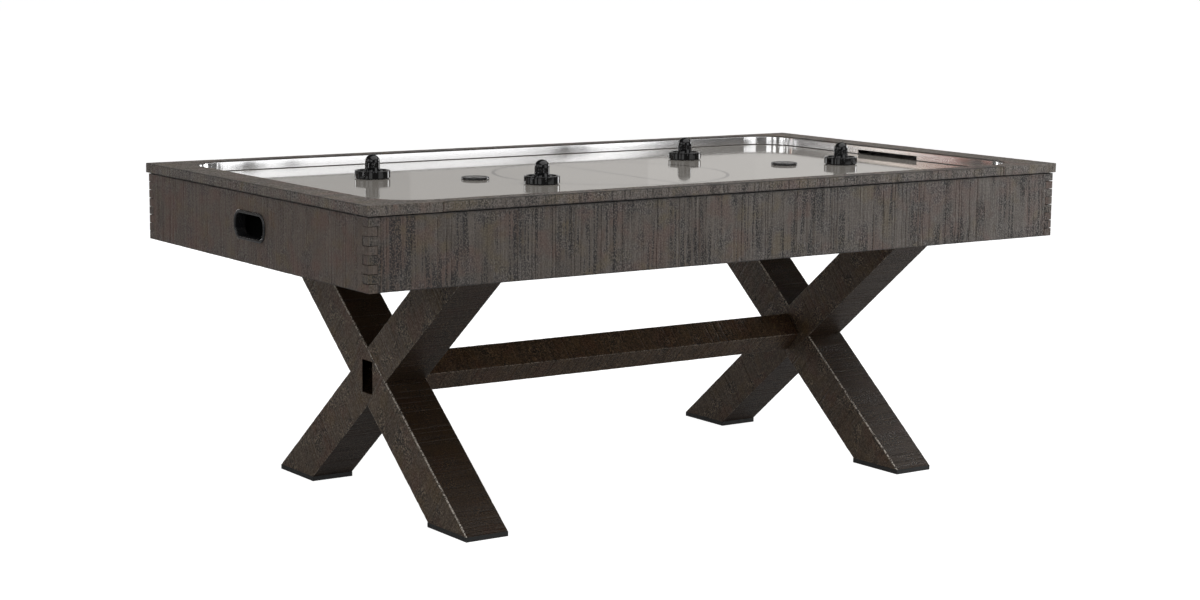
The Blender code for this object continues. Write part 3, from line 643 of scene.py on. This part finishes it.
def build_caps(material_x, material_y):
    for number, side in enumerate(("front", "back")):
        node = f"cap_rail_{side}"
        low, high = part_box(node)
        low.x += JOINT_GAP
        high.x -= JOINT_GAP
        straight_board(f"board_cap_{side}", "X", low, high, 31 + number, material_x, node,
                       spacing=0.008, rough=CAP_ROUGHNESS)
    for number, (end, sign) in enumerate((("left", -1), ("right", 1))):
        node = f"cap_rail_{end}"
        low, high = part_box(node)
        outer = abs(high.x if sign > 0 else low.x)
        joint = abs(low.x if sign > 0 else high.x)
        corner_y = abs(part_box("cap_rail_front")[1].y) - CORNER_RADIUS
        wall_x = joint + CORNER_RADIUS

        def inner_edge(y):
            over = np.clip((np.abs(y) - corner_y) / CORNER_RADIUS, 0, 1)
            return joint + CORNER_RADIUS * np.sqrt(np.maximum(0, 1 - over * over))

        def locate(s, u, v):
            """u runs from 0 at the bent inner edge to the cap's width at the outer one."""
            y = low.y + s
            edge = inner_edge(y)
            bent = np.where(u < CAP_WIDTH / 2, edge + u, outer - (CAP_WIDTH - u))
            return sign * bent, y, v

        corners = [(0.0, low.z), (CAP_WIDTH, low.z), (CAP_WIDTH, high.z), (0.0, high.z)]
        name = f"board_cap_{end}"
        mesh = sawn_board(name, corners, [0.02, 0.008, 0.011, 0.008], high.y - low.y, locate,
                          41 + number, CAP_ROUGHNESS)
        reach = sorted((sign * (wall_x - PAST), sign * CHUTE_END))
        chute = box_mesh("goal_chute", (reach[0], -DROP_HALF_WIDTH, low.z - PAST),
                         (reach[1], DROP_HALF_WIDTH, GOAL_TOP))
        add_object(name, carve(mesh, [chute]), material_y, node)


def build_beams(materials):
    for end_index, (end, sign) in enumerate((("left", -1), ("right", 1))):
        for layer_index, (layer, lean) in enumerate((("outer", 1), ("inner", -1))):
            node = f"beam_{end}_{layer}"
            low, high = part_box(node)
            half_run = BEAM_HALF / BEAM_REACH
            along, across, _ = beam_axes(lean)
            spare = BEAM_SLOPE * half_run + 0.005
            reach = (high.z - low.z) * BEAM_REACH + 2 * spare
            base_z = low.z - spare / BEAM_REACH
            base_y = lean * BEAM_SLOPE * (base_z - CROSSING_HEIGHT)

            def locate(s, u, v):
                y = base_y + along[1] * s + across[1] * v
                z = base_z + along[2] * s + across[2] * v
                return u, y, z

            def clip(points):
                z = points[..., 2]
                wanted = np.clip(z, low.z, high.z)
                points[..., 1] += (wanted - z) * lean * BEAM_SLOPE
                points[..., 2] = wanted
                return points

            corners = [(low.x, -half_run), (high.x, -half_run), (high.x, half_run),
                       (low.x, half_run)]
            name = f"leg_{end}_{layer}"
            # the outer beam's edge facing up and forward gets a stronger pale edge: wear plus a
            # painted highlight where light catches it
            worn_and_lit = (0.4, 0.4, 0.4, 1.8) if layer == "outer" else (0.3, 0.3, 0.3, 0.3)
            mesh = sawn_board(name, corners, [0.012] * 4, reach, locate,
                              51 + 2 * end_index + layer_index, 1.0, clip, worn_and_lit)
            middle = (abs(low.x) + abs(high.x)) / 2
            inner_x, outer_x = sorted((abs(low.x), abs(high.x)))
            if layer == "outer":
                cut = (inner_x - PAST, middle + LAP_GAP / 2)
            else:
                cut = (middle - LAP_GAP / 2, outer_x + PAST)
            span = sorted((sign * cut[0], sign * cut[1]))
            wide = BEAM_HALF + LAP_GAP
            (foot_y, foot_z), (top_y, top_z) = [(-lean * BEAM_SLOPE * (z - CROSSING_HEIGHT), z)
                                                for z in (low.z - PAST, high.z + PAST)]
            outline = [(foot_y - wide, foot_z), (foot_y + wide, foot_z), (top_y + wide, top_z),
                       (top_y - wide, top_z)]
            cutters = [prism_mesh("lap", outline, *span)]
            if layer == "outer":
                span = sorted((sign * (outer_x - POCKET_DEPTH), sign * (outer_x + PAST)))
                pocket_low = (span[0], -POCKET_WIDTH / 2, CROSSING_HEIGHT - POCKET_HEIGHT / 2)
                pocket_high = (span[1], POCKET_WIDTH / 2, CROSSING_HEIGHT + POCKET_HEIGHT / 2)
                cutters.append(box_mesh("pocket", pocket_low, pocket_high))
            add_object(name, carve(mesh, cutters), materials[lean], node)


def build_stretcher(material):
    low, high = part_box("stretcher")
    middle = (low.z + high.z) / 2
    corners = [(0.0, low.z), (high.y, middle), (0.0, high.z), (low.y, middle)]

    def locate(s, u, v):
        return low.x + s, u, v

    mesh = sawn_board("stretcher_beam", corners, [0.011] * 4, high.x - low.x, locate, 61,
                      edge_wear_and_shading=(0.3, 0.35, 0.3, 0.35))
    tidy_normals(mesh)
    add_object("stretcher_beam", mesh, material, "stretcher")


# ---------- playing field
def build_playfield(material):
    low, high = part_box("playfield")
    top, bottom = high.z, low.z
    half_x, half_y, cell = HOLE_COLUMNS, HOLE_ROWS, HOLE_PITCH
    x_edge, y_edge = (half_x + 0.5) * cell, (half_y + 0.5) * cell
    corner_x, corner_y = PLAY_HALF_LENGTH - CORNER_RADIUS, PLAY_HALF_WIDTH - CORNER_RADIUS
    verts, faces = [], []
    index = {}

    def corner(i, j):
        if (i, j) not in index:
            index[i, j] = len(verts)
            verts.append(((i - half_x - 0.5) * cell, (j - half_y - 0.5) * cell, top))
        return index[i, j]

    columns, rows = 2 * half_x + 1, 2 * half_y + 1
    angles = [math.radians(-157.5 + 45 * k) for k in range(8)]
    for i in range(columns):
        for j in range(rows):
            square = [corner(i, j), corner(i + 1, j), corner(i + 1, j + 1), corner(i, j + 1)]
            x, y = (i - half_x) * cell, (j - half_y) * cell
            over_x, over_y = max(0, abs(x) - corner_x), max(0, abs(y) - corner_y)
            if math.hypot(over_x, over_y) >= CORNER_RADIUS - HOLE_MARGIN:
                faces.append(square)
                continue
            first = len(verts)
            for z in (top, top - HOLE_DEPTH):
                verts.extend((x + HOLE_RADIUS * math.cos(a), y + HOLE_RADIUS * math.sin(a), z)
                             for a in angles)
            mouth = [first + k for k in range(8)]
            foot = [first + 8 + k for k in range(8)]
            # octagon points 0 and 1 lie at the bottom-left corner's two sides
            for k in range(4):
                a, b = square[k], square[(k + 1) % 4]
                faces.append([a, b, mouth[(2 * k + 2) % 8], mouth[(2 * k + 1) % 8]])
                faces.append([a, mouth[(2 * k + 1) % 8], mouth[2 * k]])
            faces += [*ring_faces(first, first + 8, 8), foot]
    ex, ey = high.x, high.y

    def outer(x, y, z=top):
        key = (round(x, 5), round(y, 5), z)
        if key not in index:
            index[key] = len(verts)
            verts.append((x, y, z))
        return index[key]

    faces.append([corner(i, rows) for i in range(columns + 1)] + [outer(x_edge, ey),
                                                                  outer(-x_edge, ey)])
    faces.append([corner(i, 0) for i in range(columns, -1, -1)] + [outer(-x_edge, -ey),
                                                                   outer(x_edge, -ey)])
    rim = [(ex, -ey), (ex, -DROP_HALF_WIDTH), (DROP_EDGE, -DROP_HALF_WIDTH),
           (DROP_EDGE, DROP_HALF_WIDTH), (ex, DROP_HALF_WIDTH), (ex, ey)]
    faces.append([outer(x_edge, -ey)] + [outer(*p) for p in rim] + [outer(x_edge, ey)]
                 + [corner(columns, j) for j in range(rows, -1, -1)])
    faces.append([outer(-x_edge, ey)] + [outer(-x, -y) for x, y in rim] + [outer(-x_edge, -ey)]
                 + [corner(0, j) for j in range(rows + 1)])
    loop = [(x_edge, -ey)] + rim + [(x_edge, ey), (-x_edge, ey)]
    loop += [(-x, -y) for x, y in rim] + [(-x_edge, -ey)]
    for a, b in zip(loop, loop[1:] + loop[:1]):
        faces.append([outer(*a), outer(*a, bottom), outer(*b, bottom), outer(*b)])
    faces.append([outer(*p, bottom) for p in reversed(loop)])
    add_object("field_panel", smooth_mesh("field_panel", verts, faces, 30), material,
               "playfield")


# ---------- turned and swept parts
def turned_mesh(name, profile, middle, segments=96):
    """A closed solid of revolution about Z from (radius, height) points, lowest first."""
    verts, faces = [], []
    for radius, z in profile:
        for k in range(segments):
            a = 2 * math.pi * k / segments
            verts.append((middle[0] + radius * math.cos(a), middle[1] + radius * math.sin(a), z))
    for i in range(len(profile) - 1):
        faces += ring_faces(i * segments, (i + 1) * segments, segments)
    for last, z in ((0, profile[0][1]), (len(profile) - 1, profile[-1][1])):
        centre = len(verts)
        verts.append((middle[0], middle[1], z))
        for k in range(segments):
            faces.append((last * segments + k, last * segments + (k + 1) % segments, centre))
    return smooth_mesh(name, verts, faces, 32)


def bow(centre, radius, start, end, steps):
    """Profile points on an arc, angles in degrees from the outward direction."""
    return [(centre[0] + radius * math.cos(math.radians(start + (end - start) * i / steps)),
             centre[1] + radius * math.sin(math.radians(start + (end - start) * i / steps)))
            for i in range(steps + 1)]


def build_pushers(plastic, felt_material):
    for number in range(1, 5):
        node = f"pusher_{number}"
        low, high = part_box(node)
        middle = ((low.x + high.x) / 2, (low.y + high.y) / 2)
        base, radius, height = low.z, (high.x - low.x) / 2, high.z - low.z
        pad, knob = PAD_HEIGHT, KNOB_RADIUS
        profile = bow((radius - 0.0024, pad + 0.0012), 0.0012, -90, 0, 5)
        profile = [(r + z - pad, z) for r, z in profile]
        profile += [(radius, 0.0100), (radius, 0.0170)]
        profile += bow((radius - 0.0016, 0.0194), 0.0016, 0, 90, 5)
        profile += [(radius - 0.0052, 0.0210)]
        profile += bow((radius - 0.0052, 0.0196), 0.0014, 90, 180, 4)
        profile += [(radius - 0.0070, 0.0130)]
        profile += bow((radius - 0.0095, 0.0128), 0.0025, 0, -90, 4)[1:]
        profile += [(knob + 0.0062, 0.0100)]
        profile += [(knob + 0.0062 - 0.0050 * math.sin(math.radians(a)),
                     0.0160 - 0.0060 * math.cos(math.radians(a))) for a in (15, 35, 55, 75)]
        profile += [(knob + 0.0008, 0.0200), (knob + 0.0002, 0.0260), (knob, 0.0330),
                    (knob, 0.0395)]
        crown = height - KNOB_SHOULDER
        profile += [(max(0.0006, knob * math.cos(math.radians(a))),
                     KNOB_SHOULDER + crown * math.sin(math.radians(a))) for a in range(6, 91, 7)]
        profile = [(r, base + z) for r, z in profile]
        name = f"pusher_{number}_body"
        add_object(name, turned_mesh(name, profile, middle), plastic, node, node)
        disc = [(radius - 0.0062, 0.0), (radius - 0.0048, 0.0004), (radius - 0.0046, pad - 0.0003),
                (radius - 0.0058, pad - 0.00005)]
        disc = [(r, base + z) for r, z in disc]
        name = f"pusher_{number}_felt"
        add_object(name, turned_mesh(name, disc, middle), felt_material, body=node)


def build_pucks(material):
    for number in (1, 2):
        node = f"puck_{number}"
        low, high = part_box(node)
        middle = ((low.x + high.x) / 2, (low.y + high.y) / 2)
        radius, top, base = (high.x - low.x) / 2, high.z, low.z
        rim = 0.0050
        profile = [(radius - 0.0016, base)] + bow((radius - 0.0012, base + 0.0013), 0.0012, -60, 0, 3)
        profile += bow((radius - 0.0012, top - 0.0013), 0.0012, 0, 80, 4)
        profile += [(radius - rim, top - 0.0001), (radius - rim - 0.0008, top - 0.0009),
                    (radius * 0.55, top - 0.0010), (0.0100, top - 0.0010), (0.0092, top - 0.0003),
                    (0.0040, top - 0.0003)]
        name = f"puck_{number}_disc"
        add_object(name, turned_mesh(name, profile, middle), material, node, node)


def build_bezels(material):
    for end, sign in (("left", -1), ("right", 1)):
        node = f"return_bezel_{end}"
        low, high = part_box(node)
        back, front = (high.x, low.x) if sign < 0 else (low.x, high.x)
        seat = front - sign * 0.003
        profile = [(0, back), (SLEEVE_WALL, back), (SLEEVE_WALL, seat), (FLANGE_WIDTH - 0.0004, seat),
                   (FLANGE_WIDTH, seat + sign * 0.0004), (FLANGE_WIDTH, seat + sign * 0.0012),
                   (FLANGE_WIDTH - 0.0005, seat + sign * 0.0022),
                   (FLANGE_WIDTH - 0.0018, seat + sign * 0.0029), (FLANGE_WIDTH - 0.0030, front),
                   (0.0024, front), (0.0010, seat + sign * 0.0027), (0.0002, seat + sign * 0.0018),
                   (0, seat)]
        verts, faces = [], []
        for offset, x in profile:
            loop = rounded_rectangle(PORT_WIDTH + 2 * offset, PORT_DEPTH + 2 * offset,
                                     PORT_RADIUS + offset, 12, (0, PORT_HEIGHT))
            verts += [(x, y, z) for y, z in loop]
        for i in range(len(profile)):
            faces += ring_faces(i * len(loop), (i + 1) % len(profile) * len(loop), len(loop))
        name = f"port_bezel_{end}"
        add_object(name, smooth_mesh(name, verts, faces, 40), material, node)


def strip_mesh(name, path, thickness, low, high):
    """A thin upright strip along a path of ((x, y), (inward x, inward y)) points."""
    r = WALL_EDGE_RADIUS
    profile = [(0, low), (thickness - 0.0003, low), (thickness, low + 0.0003)]
    profile += bow((thickness - r, high - r), r, 0, 90, 4)
    profile += [(0, high)]
    verts = [(x + u * nx, y + u * ny, z) for (x, y), (nx, ny) in path for u, z in profile]
    count = len(profile)
    faces = [tuple(range(count)), tuple(range(len(verts) - count, len(verts)))]
    for i in range(len(path) - 1):
        faces += ring_faces(i * count, (i + 1) * count, count)
    return smooth_mesh(name, verts, faces, 30)


def build_walls(material):
    """The aluminium round the field, on a thin dark joint, with round corners."""
    plate_low, plate_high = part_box("goal_plate_right")
    rail_low, rail_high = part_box("wall_rail_back")
    thickness = plate_high.x - plate_low.x
    radius = CORNER_RADIUS - LAP_GAP
    centre = (plate_high.x - radius, rail_high.y - radius)
    low, high = rail_low.z + WALL_BASE_GAP, plate_high.z

    def add(node, path, cutters=()):
        name = f"shiny_{node}"
        mesh = strip_mesh(name, path, thickness, low, high)
        if cutters:
            mesh = carve(mesh, cutters, 30)
        add_object(name, mesh, material, node)

    for side, sy in (("front", -1), ("back", 1)):
        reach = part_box(f"wall_rail_{side}")[1].x
        add(f"wall_rail_{side}", [((x, sy * rail_high.y), (0, -sy)) for x in (-reach, reach)])
    for end, sx in (("left", -1), ("right", 1)):
        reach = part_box(f"goal_plate_{end}")[1].y
        span = sorted((sx * (plate_high.x - 0.02), sx * (plate_high.x + 0.02)))
        slot = box_mesh("slot", (span[0], -GOAL_HALF_WIDTH, low - PAST),
                        (span[1], GOAL_HALF_WIDTH, GOAL_TOP))
        add(f"goal_plate_{end}", [((sx * plate_high.x, y), (-sx, 0)) for y in (-reach, reach)],
            [slot])
        for side, sy in (("front", -1), ("back", 1)):
            path = []
            for step in range(33):
                angle = math.radians(0.2 + 89.6 * step / 32)
                nx, ny = sx * math.cos(angle), sy * math.sin(angle)
                path.append(((sx * centre[0] + radius * nx, sy * centre[1] + radius * ny),
                             (-nx, -ny)))
            add(f"corner_rail_{end}_{side}", path)


# ---------- CAD nodes that are shown as they are
def dress(node, material, bevel):
    """A CAD node keeps its own mesh, and gets a material and rounded edges."""
    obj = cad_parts[node]
    obj.data.materials.clear()
    obj.data.materials.append(material)
    if bevel:
        modifier = obj.modifiers.new("rounded", "BEVEL")
        modifier.width = bevel
        modifier.segments = 2
        modifier.limit_method = "ANGLE"
        modifier.angle_limit = math.radians(30)
        modifier.use_clamp_overlap = True


def dress_cad_nodes(looks):
    for node in sorted(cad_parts):
        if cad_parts[node].hide_render:
            continue
        for prefix, (material, bevel) in looks.items():
            if node.startswith(prefix):
                dress(node, material, bevel)
                break
        else:
            raise ValueError(f"no look for {node}")


# ---------- studio
def area_light(name, place, target, width, height, radiance, colour=(1, 1, 1)):
    """A soft light with an even radiance, facing its target and left out of the picture."""
    data = bpy.data.lights.new(name, "AREA")
    data.shape = "RECTANGLE"
    data.size, data.size_y = width, height
    data.energy = radiance * math.pi * width * height
    data.color = colour
    obj = bpy.data.objects.new(name, data)
    obj.location = place
    toward = Vector(target) - Vector(place)
    obj.rotation_euler = toward.to_track_quat("-Z", "Y").to_euler()
    obj.visible_camera = False
    bpy.context.scene.collection.objects.link(obj)


def seen_or_lit(tree, seen, lit):
    """One value for what the camera sees and another for the light it sends to the table."""
    mix = tree.nodes.new("ShaderNodeMix")
    path = tree.nodes.new("ShaderNodeLightPath")
    tree.links.new(path.outputs["Is Camera Ray"], mix.inputs[0])
    mix.inputs[2].default_value, mix.inputs[3].default_value = lit, seen
    return mix.outputs[0]


CARD_HEIGHT = 2.6                # of the panels and cards that the aluminium mirrors
KEY_DISTANCE = 5.6               # of the keys from the far right corner


def build_studio():
    world = bpy.data.worlds.new("studio")
    bpy.context.scene.world = world
    world.use_nodes = True
    background = world.node_tree.nodes["Background"]
    background.inputs["Color"].default_value = (1.0, 0.99, 0.98, 1.0)
    world.node_tree.links.new(seen_or_lit(world.node_tree, 1.0, 0.085),
                              background.inputs["Strength"])

    g = Graph("studio_floor")
    g.finish(Base_Color=(0.36, 0.36, 0.36), Roughness=0.9, Emission_Color=(1.0, 1.0, 1.0),
             Emission_Strength=seen_or_lit(g.tree, 0.97, 0.14))
    bm = bmesh.new()
    bmesh.ops.create_grid(bm, x_segments=8, y_segments=8, size=90.0)
    mesh = bpy.data.meshes.new("floor")
    bm.to_mesh(mesh)
    bm.free()
    floor = bpy.data.objects.new("floor", mesh)
    floor.location = (0, 0, -0.0005)
    bpy.context.scene.collection.objects.link(floor)
    mesh.materials.append(g.material)

    area_light("overhead", (1.2, -1.0, 4.2), (1.0, -0.1, 0.8), 8.0, 4.6, 1.8)
    area_light("side", (3.4, -2.6, 0.42), (0.7, -0.58, 0.66), 2.0, 0.66, 4.8)

    # behind the table, mirrored by the field and brighter toward the right
    strip = 0.8
    for step in range(8):
        x = 0.9 + strip * step
        area_light(f"backdrop_{step}", (x, 6.0, 1.7), (x, 0.0, 1.7), strip, 3.0,
                   min(0.22 + 0.06 * step, 0.54), (1.0, 0.975, 0.94))

    # in front of it, mirrored by the back wall
    for name, x, width, radiance in (("panel_a", 1.20, 2.00, 1.60), ("panel_b", 2.92, 1.44, 1.45),
                                     ("panel_c", 3.82, 0.28, 0.45), ("panel_d", 4.20, 0.46, 2.2)):
        area_light(name, (x, -4.80, 2.1), (x, 0.5, 2.1), width, CARD_HEIGHT, radiance)

    # narrow ones off to the sides, mirrored by the pushers' rims
    for name, place, width, radiance in (("streak_a", (-5.6, 2.2, 1.7), 0.30, 3.0),
                                         ("streak_b", (6.0, 0.5, 1.7), 2.00, 8.0),
                                         ("streak_c", (-1.2, 6.0, 1.6), 0.90, 8.0)):
        area_light(name, place, (0.0, 0.0, place[2]), width, 1.6, radiance)

    # round the far right corner's bend, by their bearing from it
    corner = Vector((0.95, 0.50, 2.32))
    for name, bearing, width, radiance in (("key_a", 51, 1.50, 2.1), ("key_b", 70, 0.90, 2.2),
                                           ("key_c", 94, 1.30, 2.2), ("key_d", 117, 0.60, 1.4)):
        turn = math.radians(bearing)
        place = corner + KEY_DISTANCE * Vector((-math.sin(turn), -math.cos(turn), 0))
        area_light(name, place, corner, width, 2.35, radiance)

    # beyond the left end, mirrored by the right end wall
    for name, y, width, colour in (("dim_card", 4.34, 0.56, (0.26, 0.22, 0.19)),
                                   ("warm_card", 4.95, 0.66, (0.24, 0.03, 0.002)),
                                   ("grey_card", 5.59, 0.58, (1.15, 1.00, 0.86)),
                                   ("dark_card", 6.05, 0.34, (0.20, 0.20, 0.20))):
        area_light(name, (-4.0, y, 1.9), (0.98, y, 1.9), width, CARD_HEIGHT, 1.0, colour)


def build_camera():
    yaw, pitch, roll = 0.6105, -0.14961, 0.01043
    focal = 2369.127               # for a picture 1200 wide
    forward = Vector((math.cos(pitch) * math.sin(yaw), math.cos(pitch) * math.cos(yaw),
                      math.sin(pitch)))
    level = Vector((math.cos(yaw), -math.sin(yaw), 0))
    up = level.cross(forward)
    right = level * math.cos(roll) + up * math.sin(roll)
    up = up * math.cos(roll) - level * math.sin(roll)
    data = bpy.data.cameras.new("camera")
    data.sensor_fit = "HORIZONTAL"
    data.sensor_width = 36.0
    data.lens = 36.0 * focal / 1200
    data.clip_end = 400.0          # past the floor's far edge
    camera = bpy.data.objects.new("camera", data)
    turn = Matrix((right, up, -forward)).transposed()
    camera.matrix_world = Matrix.Translation((-3.61758, -5.12821, 1.40847)) @ turn.to_4x4()
    bpy.context.scene.collection.objects.link(camera)
    bpy.context.scene.camera = camera


def main():
    along_x = (X_AXIS, Y_AXIS, Z_AXIS)
    along_y = (Y_AXIS, X_AXIS, Z_AXIS)
    apron = (0.7195, 0.0865)         # middle and half height of the aprons
    wood_x = wood("sawn_wood_long", along_x, 0.0, (0.90, 0.87, 0.85), rim=apron)
    wood_y = wood("sawn_wood_end", along_y, 11.0, (0.94, 0.84, 0.79), lined=0.4,
                  speckled=(0.1, 0.5), rim=apron)
    cap_x = wood("sawn_wood_cap_long", along_x, 23.0, (1.08, 1.06, 1.07), lined=0.7,
                 speckled=(0.6, 0.9))
    cap_y = wood("sawn_wood_cap_end", along_y, 29.0, (1.20, 1.18, 1.16), lined=0.5,
                 speckled=(0.5, 0.8))
    # the legs' paler fleck adds painted glints to their grit
    dark = {"edge": WORN_LIT_EDGE, "sheen": 0.30, "fleck": (0.330, 0.300, 0.262)}
    # the legs' second tone is painted shade, darker than their faces across X
    legs = {lean: wood(f"sawn_wood_leg_{'back' if lean > 0 else 'front'}", beam_axes(lean),
                       37.0 + lean, (0.80, 0.66, 0.51), (0.25, 0.165, 0.095), lined=0.30,
                       speckled=(0.35, 1.0), **dark) for lean in (1, -1)}
    bar = wood("sawn_wood_stretcher", along_x, 53.0, (0.58, 0.42, 0.27), lined=0.4,
               speckled=(0.5, 1.0), **dark)
    rail = wood("sawn_wood_rail", along_y, 59.0, (0.40, 0.34, 0.28))

    build_aprons(wood_x, wood_y)
    build_caps(cap_x, cap_y)
    build_beams(legs)
    build_stretcher(bar)
    for number, end in enumerate(("left", "right")):
        node = f"leg_top_rail_{end}"
        low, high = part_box(node)
        straight_board(f"leg_rail_{end}", "Y", low, high, 71 + number, rail, node, spacing=0.02)
    build_playfield(field_laminate("laminate"))
    gloss = moulded("pusher_gloss", (0.003, 0.003, 0.0035), 0.04, 300.0, 0.00001, 0.40)
    build_pushers(gloss, felt("felt"))
    build_pucks(moulded("puck_black", (0.016, 0.016, 0.017), 0.24, 900.0, 0.0002))
    build_bezels(moulded("bezel_black", (0.010, 0.010, 0.011), 0.26, 1500.0, 0.0002))

    build_walls(brushed_aluminium("aluminium"))
    board = panel_board("raw_board")
    matt = moulded("box_black", (0.014, 0.014, 0.015), 0.42, 1100.0, 0.0003)
    fitting = moulded("fitting_black", (0.012, 0.012, 0.013), 0.35, 1100.0, 0.0002)
    rubber = moulded("pad_rubber", (0.012, 0.012, 0.012), 0.62, 800.0, 0.0004)
    zinc = steel("black_zinc", (0.26, 0.26, 0.27), 0.34)
    can = steel("steel_can", (0.46, 0.47, 0.48), 0.30)
    dress_cad_nodes({
        "plenum": (board, 0.0008), "cross_rail": (board, 0.0012),
        "goal_box": (matt, 0.0010), "blower_housing": (matt, 0.0), "blower_motor": (can, 0.0),
        "blower_impeller": (fitting, 0.0), "power_box": (matt, 0.0012),
        "power_inlet": (fitting, 0.0004), "power_rocker": (fitting, 0.0005),
        "foot_pad": (rubber, 0.0012), "leg_bolt": (zinc, 0.0), "stretcher_bolt": (zinc, 0.0)})
    build_camera()
    build_studio()
    bpy.context.scene.view_settings.view_transform = "Standard"


main()
